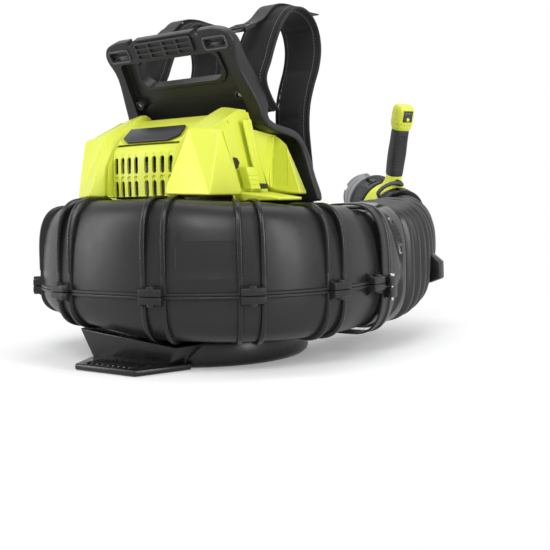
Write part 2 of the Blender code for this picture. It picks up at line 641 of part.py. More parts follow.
def build_frame():
    half = FRAME_THICKNESS / 2
    rings = []
    line = FRAME_LINE
    for i, (y, z, width, depth) in enumerate(line):
        before = Vector((0, *line[max(i - 1, 0)][:2]))
        after = Vector((0, *line[min(i + 1, len(line) - 1)][:2]))
        run = (after - before).normalized()
        out = Vector((0, -run.z, run.y))
        middle = Vector((0, y, z))
        across = Vector((width, 0, 0))
        outer, inner = middle + out * half, middle + out * (half - depth)
        rings.append([outer - across, outer + across, inner + across, inner - across])
    frame = add_object("backpack_frame", lofted(rings), PLASTIC_BLACK)
    cut(frame, slanted(both_ways(((92, 320), (84, 403))), FRAME_FLOOR, 30), "sunken_middle")
    lip = both_ways(((66, 362), (76, 372), (73, 398), (70, 402)))
    join(frame, slanted(lip, FRAME_FLOOR - 2, FRAME_FLOOR + 3.5), "opening_lip")
    cut(frame, slanted(both_ways(((60, 367), (71, 376), (68, 396), (60, 401))), -30, 30), "handle_opening")
    for side, word in ((-1, "left"), (1, "right")):
        x0, x1 = sorted((side * (SLOT_X - 15), side * (SLOT_X + 16)))
        cut(frame, slanted(((x0, 409), (x1, 409), (x1, 418), (x0, 418)), -30, 30), "slot_" + word)
        x0, x1 = sorted((side * 49, side * 60))
        cut(frame, slanted(((x0, 424), (x1, 424), (x1, 450), (x0, 450)), -30, 30), "notch_" + word)
    bosses, holes, spokes = bmesh.new(), bmesh.new(), bmesh.new()
    for side, word in ((-1, "left"), (1, "right")):
        centre = side * BOSS_X
        loft(bosses, [circle(on_frame(centre, BOSS_HEIGHT, FRAME_FLOOR + rise), FRAME_OUT, radius, 16)
                      for radius, rise in ((8, -2), (7, 5.5), (6, 6.5))])
        loft(holes, [circle(on_frame(centre, BOSS_HEIGHT, FRAME_FLOOR + rise), FRAME_OUT, 4, 12)
                     for rise in (2, 20)])
        screw = [circle(on_frame(centre, BOSS_HEIGHT, FRAME_FLOOR + rise), FRAME_OUT, 3.6, 12)
                 for rise in (2 + GAP, 4.5)]
        add_object("frame_screw_" + word, lofted(screw), STEEL)
        for x, height in ((100, 330), (100, 372)):
            foot, end = Vector((BOSS_X, 0, BOSS_HEIGHT)), Vector((x, 0, height))
            run = (end - foot).normalized()
            width = Vector((run.z, 0, -run.x)) * SPOKE_HALF
            outline = [foot + run * 5 - width, end - width, end + width, foot + run * 5 + width]
            loft(spokes, [[on_frame(side * point.x, point.z, FRAME_FLOOR + rise) for point in outline]
                          for rise in (-1, 4)])
    join(frame, bosses, "bosses")
    join(frame, spokes, "spokes")
    cut(frame, holes, "boss_recess")

    ribs = bmesh.new()
    for row in range(3):
        z = 408.5 + row * 6.2
        outline = ((-47, z), (47, z), (47, z + 4.6), (-47, z + 4.6))
        loft(ribs, [[on_frame(x, level, out) for x, level in outline]
                    for out in (half + GAP + 1, half + 4.5)])
    grip = add_object("carry_grip", slanted(((-48, 407), (48, 407), (48, 427), (-48, 427)),
                                            half + GAP, half + 2), RUBBER)
    join(grip, ribs, "ribs")

    face = FRAME_BACK_Y + half
    rounded_box((-52, face + GAP, 112), (52, face + 14, 256), 6, "back_pad", FABRIC)
    rounded_box((-94, face + GAP, 42), (94, face + 16, 106), 7, "lumbar_pad", FABRIC)


STRAP_LINE = ((-6, 366), (6, 392), (20, 420), (38, 447), (64, 469), (90, 475), (115, 468), (132, 450),
              (138, 425), (132, 398), (117, 368), (107, 340), (105, 310), (110, 280), (116, 250), (117, 238))
STRAP_X = 88
STRAP_HALF = (30, 24)           # at the top and at the lower end
STRAP_THICKNESS = 12
WEBBING_HALF = 12.5
WEB_LINE = ((-68, 411.5), (-51, 422), (-31, 429), (-10, 437), (10, 446), (30, 456.5), (57, 477.3),
            (88, 483.6), (120, 483), (150, 482), (176, 483))
LOCK_CENTRE = (-10, 437)
LOWER_WEB_LINE = ((115, 232), (111, 200), (109.5, 160), (109.5, 128))


def ribbon(line, middle_x, half_width, thickness, side, end_half=None):
    """A band across X that follows a line of (y, z) points, narrower over its last third if told so."""
    rings = []
    for i, (y, z) in enumerate(line):
        before = Vector((0, *line[max(i - 1, 0)]))
        after = Vector((0, *line[min(i + 1, len(line) - 1)]))
        run = (after - before).normalized()
        out = Vector((0, -run.z, run.y)) * thickness / 2
        centre = Vector((side * middle_x, y, z))
        share = max(0, 3 * i / (len(line) - 1) - 2)
        across = Vector((half_width + share * ((end_half or half_width) - half_width), 0, 0))
        rings.append([centre - across + out, centre + across + out, centre + across - out,
                      centre - across - out])
    return lofted(rings)


def build_strap(side, word):
    strap = ribbon(STRAP_LINE, STRAP_X, STRAP_HALF[0], STRAP_THICKNESS, side, STRAP_HALF[1])
    add_object("shoulder_strap_" + word, strap, FABRIC)
    add_object("upper_webbing_" + word, ribbon(WEB_LINE, SLOT_X, WEBBING_HALF, 2, side), FABRIC)
    add_object("lower_webbing_" + word, ribbon(LOWER_WEB_LINE, STRAP_X, WEBBING_HALF, 2, side), FABRIC)
    lean = Vector((0, 41, 17)).normalized()
    out = Vector((0, -17, 41)).normalized()
    middle = Vector((side * SLOT_X, *LOCK_CENTRE))
    rings = []
    for depth in (-3, 4):
        rings.append([middle + Vector((x, 0, 0)) + lean * s + out * depth
                      for x, s in ((-17, -13), (17, -13), (17, 13), (-17, 13))])
    buckle = add_object("ladder_lock_" + word, lofted(rings), PLASTIC_BLACK)
    windows = bmesh.new()
    for low, high in ((-9.5, -2.5), (2.5, 9.5)):
        loft(windows, [[middle + Vector((x, 0, 0)) + lean * s + out * depth
                        for x, s in ((-13.5, low), (13.5, low), (13.5, high), (-13.5, high))]
                       for depth in (-12, 12)])
    cut(buckle, windows, "windows")
    cut(buckle, ribbon(WEB_LINE, SLOT_X, WEBBING_HALF + 0.7, 3, side), "webbing_path")


# ---------------------------------------------------------------- outlet, hose and tube

def rounded_rect(centre, half_x, half_z, power, count=20, across=None, up=None):
    across = across or Vector((1, 0, 0))
    up = up or Vector((0, 0, 1))
    points = []
    for i in range(count):
        angle = 2 * math.pi * i / count
        c, s = math.cos(angle), math.sin(angle)
        x = math.copysign(abs(c) ** (2 / power), c) * half_x
        z = math.copysign(abs(s) ** (2 / power), s) * half_z
        points.append(centre + across * x + up * z)
    return points


def cubic(points, share):
    rest = 1 - share
    weights = (rest ** 3, 3 * rest * rest * share, 3 * rest * share * share, share ** 3)
    return sum((point * weight for point, weight in zip(points, weights)), Vector())


def between(table, at):
    """Values from a table whose first column is the position, straight between its rows."""
    for low, high in zip(table, table[1:]):
        if at <= high[0]:
            share = (at - low[0]) / (high[0] - low[0])
            return [a + (b - a) * share for a, b in zip(low[1:], high[1:])]
    return table[-1][1:]


def hose_ring(share, reach):
    """One section of the bellows: a rounded square at the cuff, a circle at the far end."""
    end = TUBE_CENTRE + TUBE_AXIS * HOSE_END_STATION
    outer = cubic((*HOSE_OUTER, end + TUBE_SIDE * HOSE_END_RADIUS), share)
    inner = cubic((*HOSE_INNER, end - TUBE_SIDE * HOSE_END_RADIUS), share)
    across = (outer - inner) / 2
    half, across = across.length, across.normalized()
    up = Vector((0, 0, 1)) * (1 - share) + TUBE_UP * share
    up = (up - across * up.dot(across)).normalized()
    height, power = between(HOSE_ROWS, share)
    return rounded_rect((outer + inner) / 2, half + reach, height + reach, power, 20, across=across, up=up)


def build_outlet():
    def sleeve(name, finish, rows, wall):
        outer = [rounded_rect(Vector((x, y, z)), hx, hz, p) for x, y, z, hx, hz, p in rows]
        inner = [rounded_rect(Vector((x, y, z)), hx - wall, hz - wall, p) for x, y, z, hx, hz, p in rows]
        return add_object(name, lofted(outer + inner[::-1], closed=True), finish)

    x, z, hx, hz, power = DUCT_MOUTH
    sleeve("outlet_cuff", GLOSS_BLACK,
           ((x, RING_OUTLET_END + GAP, z, hx, hz, power), (x, 98, z, hx, hz, power),
            (x - 2, 102, z, hx + 3, hz + 4, power), (172, 128, 115, 66, 84, 3.3),
            (163, 150, 115, 75, 86, 3.3), (*CUFF_END.xy, 115, 73, 83, 3.4)), 3)
    sleeve("outlet_clamp_band", PLASTIC_BLACK,
           ((x, 68, z, hx + 8.5, hz + 8.5, power), (x, 97, z, hx + 8.5, hz + 8.5, power)), 2.5)
    band = bpy.data.objects["outlet_clamp_band"]
    edge_x = x + hx + 6
    join(band, boxes(((edge_x, 74, 76), (edge_x + 11, 92, 89)),
                     ((edge_x, 74, 91), (edge_x + 11, 92, 104))), "latch_lugs")
    cut(band, boxes(((edge_x - 5, 60, 89), (edge_x + 20, 100, 91))), "split")
    screw = [(edge_x + 7, 83, 90)]
    cut(band, cylinder_group(screw, Vector((0, 0, 1)), 2.4, -30, 30, 10), "screw_hole")
    add_object("clamp_screw", cylinder_group(screw, Vector((0, 0, 1)), 2, -18, 16, 10), STEEL)

    rings_out, rings_in = [], []
    steps = CONVOLUTIONS * 2
    for i in range(steps + 1):
        share = i / steps
        rise = 4.5 - 2.5 * share
        rings_out.append(hose_ring(share, rise if i % 2 else -1.5))
        rings_in.append(hose_ring(share, rise - 2.3 if i % 2 else -3.8))
    for rings in (rings_out, rings_in):
        rings[0] = [point + Vector((0, GAP, 0)) for point in rings[0]]
    hose = add_object("bellows_hose", lofted(rings_out + rings_in[::-1], closed=True), RUBBER, HOSE_PIVOT)
    join(hose, hull([(x, y, z) for y in (258, 274) for x, z in ((222, 78), (222, 127), (242.5, 86),
                                                                (242.5, 111))]), "moulded_lug")


def tube_at(station, across=0.0, up=0.0):
    return TUBE_CENTRE + TUBE_AXIS * station + TUBE_SIDE * across + TUBE_UP * up


def tube_ring(name, finish, inner, outer, low, high, count=24):
    return add_object(name, tube_shape(inner, outer, low, high, count, TUBE_CENTRE, TUBE_AXIS), finish,
                      TUBE_CENTRE)


def handle_section(height, front, back, half_side):
    """Section across the handle: front is towards the tube's free end."""
    middle = tube_at((front - back) / 2, 0, height)
    return rounded_rect(middle, (front + back) / 2, half_side, 2.6, 16, across=TUBE_AXIS, up=TUBE_SIDE)


def build_tube():
    start = HOSE_END_STATION
    clamp = tube_ring("hose_end_clamp", PLASTIC_BLACK, TUBE_RADIUS + 0.5, CLAMP_RADIUS, start + 0.6, -19.5)
    lug = bmesh.new()
    for low, high in ((-10, -1), (1, 10)):
        box_at(lug, (start + 4, start + 16), (36, 56), (low - 24, high - 24))
    join(clamp, lug, "lugs")
    screw = [tube_at(start + 10, 50, -24)]
    cut(clamp, cylinder_group(screw, TUBE_UP, 2.4, -30, 30, 10), "screw_hole")
    add_object("hose_end_screw", cylinder_group(screw, TUBE_UP, 2, -13, 12, 10), STEEL, TUBE_CENTRE)

    profile = ((33, start + 4), (TUBE_RADIUS, start + 4), (TUBE_RADIUS, -19), (43, -19), (43, -16.4),
               (TUBE_RADIUS, -16.4), (TUBE_RADIUS, 59), (33, 59))
    add_object("blower_tube", turned(profile, 24, TUBE_CENTRE, TUBE_AXIS, closed=True), PLASTIC_BLACK,
               TUBE_CENTRE)
    rim = TUBE_RADIUS + 0.5
    socket = ((33.5, 59 + GAP), (41, 59 + GAP), (41, 63), (rim, 64), (rim, SOCKET_END), (33.5, SOCKET_END))
    add_object("tube_socket", turned(socket, 24, TUBE_CENTRE, TUBE_AXIS, closed=True), GREY, TUBE_CENTRE)
    notch = bmesh.new()
    loft(notch, [circle(tube_at(SOCKET_END - 8, 0, radius), TUBE_UP, 3, 8) for radius in (36, 40)])
    join(bpy.data.objects["tube_socket"], notch, "pin")

    inner = TUBE_RADIUS + 0.5
    collar = ((inner, 23), (44, 23), (45.5, 26), (45.5, 50), (46.5, 52), (46.5, 57), (inner, 57))
    add_object("locking_collar", turned(collar, 28, TUBE_CENTRE, TUBE_AXIS, closed=True), DARK_GREY,
               TUBE_CENTRE)

    base = tube_ring("handle_base", LIME, TUBE_RADIUS + 2 * GAP, 45, -16, 15)
    neck = [handle_section(40, 15, 15, 22), handle_section(50, 12, 14, 15), handle_section(62, 11, 12, 12)]
    join(base, lofted(neck), "neck")
    cut(base, tube_shape(2, TUBE_RADIUS + 2 * GAP, -60, 60, 24, TUBE_CENTRE, TUBE_AXIS), "bore")
    grip = [handle_section(height, front, back, half) for height, front, back, half in
            ((62 + GAP, 11.5, 12.5, 12.5), (80, 13, 13, 14), (100, 13, 13.5, 14.5), (120, 12, 13, 14),
             (140 - GAP, 11.5, 13, 13.5))]
    add_object("grip_sleeve", lofted(grip), RUBBER, TUBE_CENTRE)
    head = [handle_section(height, front, back, half) for height, front, back, half in
            ((140, 11, 14, 13), (147, 15, 17, 15.5), (156, 16, 19, 16), (174, 15, 19, 15.5),
             (181, 11, 14, 12))]
    head = add_object("handle_head", lofted(head), LIME, TUBE_CENTRE)
    trigger_pocket = bmesh.new()
    box_at(trigger_pocket, (1.5, 30), (-6.5, 6.5), (143, 169))
    cut(head, trigger_pocket, "trigger_pocket")
    panel_pocket = bmesh.new()
    box_at(panel_pocket, (-30, -17.5), (-8.4, 8.4), (155.5, 174.5))
    cut(head, panel_pocket, "panel_pocket")
    panel = bmesh.new()
    box_at(panel, (-19.6, -17.8), (-8, 8), (156, 174))
    panel = add_object("control_panel", panel, DARK_GREY, TUBE_CENTRE)
    button_hole = bmesh.new()
    loft(button_hole, [circle(tube_at(s, 0, 160), TUBE_AXIS, 3.3, 14) for s in (-30, -10)])
    cut(panel, button_hole, "button_hole")
    cut(head, cylinder_group([tube_at(-20, 0, 160)], TUBE_AXIS, 3.3, 0, 6, 14), "button_hole")
    add_object("power_button", cylinder_group([tube_at(-20.6, 0, 160)], TUBE_AXIS, 2.9, 0, 4.2, 14),
               LIME, tube_at(-20.6, 0, 160))

    trigger = bmesh.new()
    outline = ((8, 145), (15, 144.5), (22, 147), (24.5, 152), (22, 157), (24.5, 162), (21, 167.5), (8, 167.5))
    loft(trigger, [[tube_at(s, across, h) for s, h in outline] for across in (-6, 6)])
    add_object("trigger", trigger, RUBBER, tube_at(10, 0, 166))

    relief = cylinder_group([tube_at(-16, 0, RELIEF_UP)], -TUBE_AXIS, 5.5, -1.5, 8.5, 14)
    cut(base, cylinder_group([tube_at(-14, 0, RELIEF_UP)], -TUBE_AXIS, 5.8, -2, 30, 14), "relief_seat")
    add_object("strain_relief", relief, RUBBER, TUBE_CENTRE)
    build_conduit()


def box_at(shape, along, across, up):
    """A box in the tube's own directions."""
    corners = [[tube_at(a, b, c) for a, b in ((along[0], across[0]), (along[1], across[0]),
                                             (along[1], across[1]), (along[0], across[1]))] for c in up]
    loft(shape, corners)


def build_conduit():
    """Short control cable from the handle's foot to the clamp at the hose end."""
    route = [tube_at(*place) for place in CABLE_ROUTE]
    curve = bpy.data.curves.new("control_cable", "CURVE")
    curve.dimensions = "3D"
    curve.bevel_depth = 3.5 * MM
    curve.bevel_resolution = 2
    curve.use_fill_caps = True
    points = []
    last = len(route) - 1
    for i in range(last):
        p0, p1, p2, p3 = (route[max(0, min(last, i + k))] for k in (-1, 0, 1, 2))
        for step in range(2):
            t = step / 2
            points.append(0.5 * (2 * p1 + (p2 - p0) * t + (2 * p0 - 5 * p1 + 4 * p2 - p3) * t * t
                                 + (3 * p1 - p0 - 3 * p2 + p3) * t ** 3))
    points.append(route[-1])
    line = curve.splines.new("POLY")
    line.points.add(len(points) - 1)
    for slot, point in zip(line.points, points):
        slot.co = (*(point * MM), 1)
    curve.materials.append(material(RUBBER))
    cable = bpy.data.objects.new("control_cable", curve)
    bpy.context.scene.collection.objects.link(cable)


def main():
    clear_scene()
    build_drum()
    build_motor()
    build_ring()
    build_housing()
    for side, word in ((-1, "left"), (1, "right")):
        build_bay(side, word)
        build_strap(side, word)
    build_frame()
    build_outlet()
    build_tube()


main()
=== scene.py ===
"""Backpack leaf blower: the finish of every surface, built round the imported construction.

A ring duct wraps round the back of a fan drum. A lime housing with two battery bays sits on it, a
moulded frame with padded shoulder straps faces the wearer, and a bellows hose leads the air to a
tube with a control handle.

Sizes are in millimetres until a vertex is written, where MM turns them into metres.
+Z is up, +Y is the wearer's side, +X is the outlet's side.
"""
import json
import math

import bmesh
import bpy
from bpy.props import FloatProperty, FloatVectorProperty, PointerProperty
from mathutils import Matrix, Vector, noise


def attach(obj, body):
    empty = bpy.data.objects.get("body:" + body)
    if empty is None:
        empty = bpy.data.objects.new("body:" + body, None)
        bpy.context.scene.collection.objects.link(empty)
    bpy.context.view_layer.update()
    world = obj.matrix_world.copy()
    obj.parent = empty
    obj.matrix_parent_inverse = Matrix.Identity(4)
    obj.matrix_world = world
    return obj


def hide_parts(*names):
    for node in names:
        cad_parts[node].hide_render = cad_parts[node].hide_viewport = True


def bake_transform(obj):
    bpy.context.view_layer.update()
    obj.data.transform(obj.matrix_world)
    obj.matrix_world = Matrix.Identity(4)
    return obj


bl_info = {
    "name": "Backpack Leaf Blower",
    "version": (1, 0, 0),
    "blender": (4, 5, 0),
    "location": "View3D > Sidebar > Blower",
    "description": "Dresses the leaf blower's packed construction with finished pieces",
    "category": "Add Mesh",
}

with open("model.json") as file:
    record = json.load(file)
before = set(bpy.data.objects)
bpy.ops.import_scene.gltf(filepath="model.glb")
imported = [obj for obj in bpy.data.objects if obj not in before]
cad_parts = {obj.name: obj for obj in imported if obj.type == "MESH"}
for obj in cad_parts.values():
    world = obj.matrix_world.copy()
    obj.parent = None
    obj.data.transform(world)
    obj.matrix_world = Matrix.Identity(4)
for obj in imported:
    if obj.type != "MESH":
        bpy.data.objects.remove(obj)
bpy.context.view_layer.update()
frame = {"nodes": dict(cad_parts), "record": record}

MM = 0.001
X_AXIS = Vector((1, 0, 0))
UP = Vector((0, 0, 1))
ZERO = Vector((0, 0, 0))
SIDES = ((-1, "left"), (1, "right"))


# ---------------------------------------------------------------- sizes shared with the construction

WALL = 3.2
DRUM_RADIUS = 145
DRUM_HEIGHT = 33
DRUM_FRONT_Y = 94
FAN_RADIUS = 92

RING_HALF_WIDTH = 236
RING_DEPTH = 223
RING_CENTRE_Y = 25
RING_POWER = 2.2
RING_LEFT_END = 50
RING_OUTLET_END = 75
SEAM_Z = 96
SEAM_GAP = 0.3
UPPER_POWER = 3.0
LOWER_POWER = 2.5
# bearing from the back in degrees, lowest point, highest point, width between the walls
SECTIONS = ((-90, 66, 196, 84), (-48, 62, 201, 86), (-19, 51, 211, 90), (19, 38, 211, 92),
            (48, 36, 205, 94), (76, 35, 198, 96), (90, 34, 198, 98))
OUTLET_SECTION = (34, 192, 98)
LUG_BEARINGS = (-76, -48, -19, 19, 48, 76)
DIVISION_BEARING = 24
OUTLET_LUG_Y = 52
LUG_LENGTH, LUG_REACH, LUG_HEIGHT = 30, 13, 13
LUG_SCREW_INSET = 8
RIB_HALF_SPACING = 13
THROAT_HALF_WIDTH = 32
THROAT_Z = (112, 176)

FOOT_BACK_Y = -200
FOOT_HALF_BACK = 50
FOOT_HALF_FRONT = 80
FOOT_FRONT_Y = -128
COLUMN_RISE = (41, 27)
FOOT_THICKNESS = 8

BAY_INNER_X = 95
BAY_Y = (-55, 26)
BAY_FLOOR_Z = 219
BAY_BOTTOM_Z = 206
# corners of the housing's bodies, for the side at +X
FIN = ((69.5, -112, 300), (63, -157, 216), (115, -109, 292), (112, -127, 214), (66.5, -38, 332),
       (109, -38, 323), (57, -118, 214), (58, -80, 306), (112, -60, 214), (68, -19, 326), (95, -19, 326))
WING = ((72, -9, 302), (95, -9, 302), (107, 27, 295.5), (125, 27, 281), (147, 27, 214), (72, 34, 214),
        (72, 37, 293), (107, 37, 292), (120, 37, 281), (130, 72, 214), (72, 84, 214), (110, 72, 258),
        (72, 80, 256))
SCOOP = ((98, 20), (101, 34), (122, 34), (133, 20))
CORE = ((57, -131, 214), (57, -127, 256), (57, -109, 285), (57, -84, 307), (57, -42, 322), (72, -42, 321),
        (72, 60, 257), (72, 84, 246), (72, 92, 238), (72, 92, 214))
CAVITY = ((53, -122, 200), (53, -118, 254), (53, -102, 280), (60, -60, 306), (60, -38, 310),
          (60, 54, 250), (60, 86, 232), (60, 86, 200))

FRAME_THICKNESS = 13
FRAME_BACK_Y = 101
# the frame from its foot to its top: y, z, half width, depth
FRAME_LINE = ((101, 34, 92, 13), (101, 60, 106, 13), (101, 120, 115, 13), (101, 196, 117, 13),
              (101, 207, 134, 13), (101, 240, 124, 13), (99, 264, 118, 13), (90, 283, 115, 13),
              (68, 297, 115, 13), (1, 309, 117, 13), (-17, 338, 115, 26), (-46, 385, 105, 26),
              (-62, 410, 110, 17), (-69, 421.5, 106, 13), (-72.5, 427, 98, 12), (-74.4, 430, 84, 12))
FRAME_FOLD = Vector((0, 3, 306))
FRAME_LEAN = (Vector((0, -74.4, 430)) - FRAME_FOLD).normalized()
FRAME_OUT = Vector((0, -FRAME_LEAN.z, FRAME_LEAN.y))          # away from the wearer
FRAME_FLOOR = -6.5
BOSS_X = 87
BOSS_HEIGHT = 347
SLOT_X = 82

STRAP_X = 88
STRAP_HALF = (30, 24)           # half width at the top and at the lower end
STRAP_THICKNESS = 12
STRAP_LINE = ((26, 327), (8, 341), (-6, 366), (6, 392), (20, 420), (38, 447), (64, 469),
              (90, 475), (115, 468), (132, 450), (138, 425), (132, 398), (117, 368), (107, 340), (105, 310),
              (110, 280), (116, 250), (117, 238))
WEBBING_HALF = 12.5
WEB_LINE = ((-68, 411.5), (-51, 422), (-31, 429), (-10, 437), (10, 446), (30, 456.5), (57, 477.3),
            (88, 483.6), (120, 483), (150, 482), (176, 483))
LOCK_CENTRE = (-10, 437)
LOWER_WEB_LINE = ((115, 232), (111, 200), (109.5, 160), (109.5, 128))

MOUTH_X, MOUTH_Z, MOUTH_HALF_X, MOUTH_HALF_Z, MOUTH_POWER = 187, 113, 49, 79, 3.2
CUFF_END = Vector((163, 158, 115))
TUBE_AXIS = Vector((-0.79, 0.53, 0.30)).normalized()
TUBE_CENTRE = Vector((94, 398, 186))
TUBE_UP = (UP - TUBE_AXIS * TUBE_AXIS.z).normalized()
TUBE_SIDE = TUBE_AXIS.cross(TUBE_UP)
TUBE_RADIUS = 36
HOSE_OUTER = (Vector((237, 158, 115)), Vector((241, 254, 114)), Vector((205, 356, 146)))
HOSE_INNER = (Vector((89, 158, 115)), Vector((89, 232, 114)), Vector((118, 330, 152)))
# share of the hose's length, half height, squareness
HOSE_ROWS = ((0, 81, 3.4), (0.25, 80, 3.0), (0.45, 73, 2.5), (0.65, 59, 2.2), (0.85, 44, 2.0), (1, 38, 2.0))
HOSE_END_RADIUS = 38
HOSE_END_STATION = -38
SOCKET_END = 98
CLAMP_RADIUS = 46
RELIEF_UP = 53
# the control cable's route as (along the tube, across it, above it)
CABLE_ROUTE = ((-25.4, 0, 53), (-28.4, 0, 53.1), (-31, -4, 55), (-32, -12, 57), (-31, -21, 56),
               (-30, -31, 51.5), (-29, -39, 44.5), (-28.6, -42, 38), (-28.5, -36.5, 30.5))
CONVOLUTIONS = 12


# ---------------------------------------------------------------- mesh helpers

def loft(shape, rings, closed=False):
    """Skin a list of loops of equal length; caps the ends, or meets the first ring again."""
    made = [[shape.verts.new(Vector(point)) for point in ring] for ring in rings]
    count = len(made[0])
    pairs = list(zip(made, made[1:]))
    if closed:
        pairs.append((made[-1], made[0]))
    for low, high in pairs:
        for i in range(count):
            j = (i + 1) % count
            shape.faces.new((low[i], low[j], high[j], high[i]))
    if not closed:
        shape.faces.new(made[0][::-1])
        shape.faces.new(made[-1])


def lofted(rings, closed=False):
    shape = bmesh.new()
    loft(shape, rings, closed)
    return shape


def circle(centre, along, radius, count):
    """Points round an axis, evenly spaced."""
    along = along.normalized()
    side = along.orthogonal().normalized()
    other = along.cross(side)
    turns = (2 * math.pi * i / count for i in range(count))
    return [centre + (side * math.cos(a) + other * math.sin(a)) * radius for a in turns]


def turned(profile, count=64, centre=ZERO, along=UP, closed=False):
    """A turned solid; the profile is (radius, distance along the axis)."""
    along = along.normalized()
    rings = [circle(centre + along * height, along, radius, count) for radius, height in profile]
    return lofted(rings, closed)


def box(shape, low, high):
    (x0, y0, z0), (x1, y1, z1) = low, high
    lower = ((x0, y0, z0), (x1, y0, z0), (x1, y1, z0), (x0, y1, z0))
    loft(shape, (lower, [(x, y, z1) for x, y, z in lower]))


def boxes(*corners):
    shape = bmesh.new()
    for low, high in corners:
        box(shape, low, high)
    return shape


def hull(points):
    shape = bmesh.new()
    for point in points:
        shape.verts.new(Vector(point))
    made = bmesh.ops.convex_hull(shape, input=shape.verts)
    loose = [item for item in made["geom_interior"] if isinstance(item, bmesh.types.BMVert)]
    bmesh.ops.delete(shape, geom=loose, context="VERTS")
    bmesh.ops.dissolve_limit(shape, angle_limit=math.radians(1), verts=shape.verts, edges=shape.edges)
    return shape


def mirrored(points, side):
    return [(side * x, y, z) for x, y, z in points]


def both_sides(points):
    return [point for side, _ in SIDES for point in mirrored(points, side)]


def bent(value, power):
    """A sine or cosine raised to a power with its sign kept, which squares a circle off."""
    return math.copysign(abs(value) ** power, value)


def rounded_rect(centre, half_x, half_z, power, count=20, across=X_AXIS, up=UP):
    """A superellipse: 2 is an ellipse, and a larger power is squarer."""
    points = []
    for i in range(count):
        angle = 2 * math.pi * i / count
        x = bent(math.cos(angle), 2 / power) * half_x
        z = bent(math.sin(angle), 2 / power) * half_z
        points.append(centre + across * x + up * z)
    return points


def corner_rect(half_x, half_y, radius, steps=4):
    """A rectangle with round corners, as flat (x, y) pairs."""
    points = []
    for quarter, (sx, sy) in enumerate(((1, 1), (-1, 1), (-1, -1), (1, -1))):
        for i in range(steps + 1):
            angle = math.pi / 2 * (quarter + i / steps)
            points.append((sx * (half_x - radius) + radius * math.cos(angle),
                           sy * (half_y - radius) + radius * math.sin(angle)))
    return points


def smooth_line(points, steps):
    """Points on a smooth curve through given ones."""
    points = [Vector(point) for point in points]
    last = len(points) - 1
    line = []
    for i in range(last):
        p0, p1, p2, p3 = (points[max(0, min(last, i + k))] for k in (-1, 0, 1, 2))
        for step in range(steps):
            t = step / steps
            line.append(0.5 * (2 * p1 + (p2 - p0) * t + (2 * p0 - 5 * p1 + 4 * p2 - p3) * t * t
                               + (3 * p1 - p0 - 3 * p2 + p3) * t ** 3))
    return line + [points[-1]]


def swept(line, radius, sides=8, closed=False):
    """A round rod along a line of points; the radius is one number, or a list with one for each point."""
    rings = []
    count = len(line)
    radii = radius if isinstance(radius, list) else [radius] * count
    side = None
    for i, (point, reach) in enumerate(zip(line, radii)):
        before = line[i - 1] if closed or i else point
        after = line[(i + 1) % count] if closed or i + 1 < count else point
        run = (after - before).normalized()
        side = run.orthogonal().normalized() if side is None else (side - run * side.dot(run)).normalized()
        other = run.cross(side)
        rings.append([point + (side * math.cos(a) + other * math.sin(a)) * reach
                      for a in (2 * math.pi * k / sides for k in range(sides))])
    return lofted(rings, closed)


def smooth_table(table, at):
    """Values from a table whose first column is the position, eased between its rows."""
    if at <= table[0][0]:
        return table[0][1:]
    for low, high in zip(table, table[1:]):
        if at <= high[0]:
            share = ease((at - low[0]) / (high[0] - low[0]))
            return [a + (b - a) * share for a, b in zip(low[1:], high[1:])]
    return table[-1][1:]


def ease(share):
    share = max(0.0, min(1.0, share))
    return share * share * (3 - 2 * share)


def rounded(shape, radius, segments=3, angle=30):
    """Round every edge sharper than an angle."""
    bmesh.ops.recalc_face_normals(shape, faces=shape.faces)
    sharp = [edge for edge in shape.edges
             if edge.is_manifold and edge.calc_face_angle(0) > math.radians(angle)]
    bmesh.ops.bevel(shape, geom=sharp, offset=radius, segments=segments, profile=0.5, affect="EDGES",
                    clamp_overlap=True)
    return shape


def merged(*shapes):
    """Several shapes as one, each still a body of its own."""
    whole = bmesh.new()
    for shape in shapes:
        mesh = bpy.data.meshes.new("part")
        shape.to_mesh(mesh)
        shape.free()
        whole.from_mesh(mesh)
        bpy.data.meshes.remove(mesh)
    return whole


def slab(outline, low, high):
    """A slab with a (y, z) outline between two places along X."""
    return lofted([[(x, y, z) for y, z in outline] for x in (low, high)])


def linked(name, data):
    """A new object of a mesh, a lamp or a camera, in the scene."""
    made = bpy.data.objects.new(name, data)
    bpy.context.scene.collection.objects.link(made)
    return made


def as_object(name, shape):
    """A shape drawn in millimetres as an object in metres."""
    bmesh.ops.recalc_face_normals(shape, faces=shape.faces)
    bmesh.ops.scale(shape, vec=(MM, MM, MM), verts=shape.verts)
    mesh = bpy.data.meshes.new(name)
    shape.to_mesh(mesh)
    shape.free()
    return linked(name, mesh)


def applied(thing):
    """Turn an object's modifiers into its plain mesh."""
    graph = bpy.context.evaluated_depsgraph_get()
    mesh = bpy.data.meshes.new_from_object(thing.evaluated_get(graph))
    thing.modifiers.clear()
    old = thing.data
    thing.data = mesh
    bpy.data.meshes.remove(old)
    return thing


def combined(thing, shape, operation):
    """Add a shape to an object, or cut it away, at once."""
    tool = as_object(thing.name + "_tool", shape)
    change = thing.modifiers.new(operation.title(), "BOOLEAN")
    change.operation = operation
    change.solver = "EXACT"
    change.object = tool
    applied(thing)
    bpy.data.objects.remove(tool)
    return thing


def carve(thing, shape):
    return combined(thing, shape, "DIFFERENCE")


def fuse(thing, shape):
    return combined(thing, shape, "UNION")


def dressed(thing, finish, angle=35):
    """Shade an object and give it its finish and the material slot that this stands under."""
    mesh = thing.data
    mesh.materials.clear()
    mesh.materials.append(FINISHES[finish])
    for polygon in mesh.polygons:
        polygon.material_index = 0
    mesh.shade_smooth()
    mesh.set_sharp_from_angle(angle=math.radians(angle))
    return thing


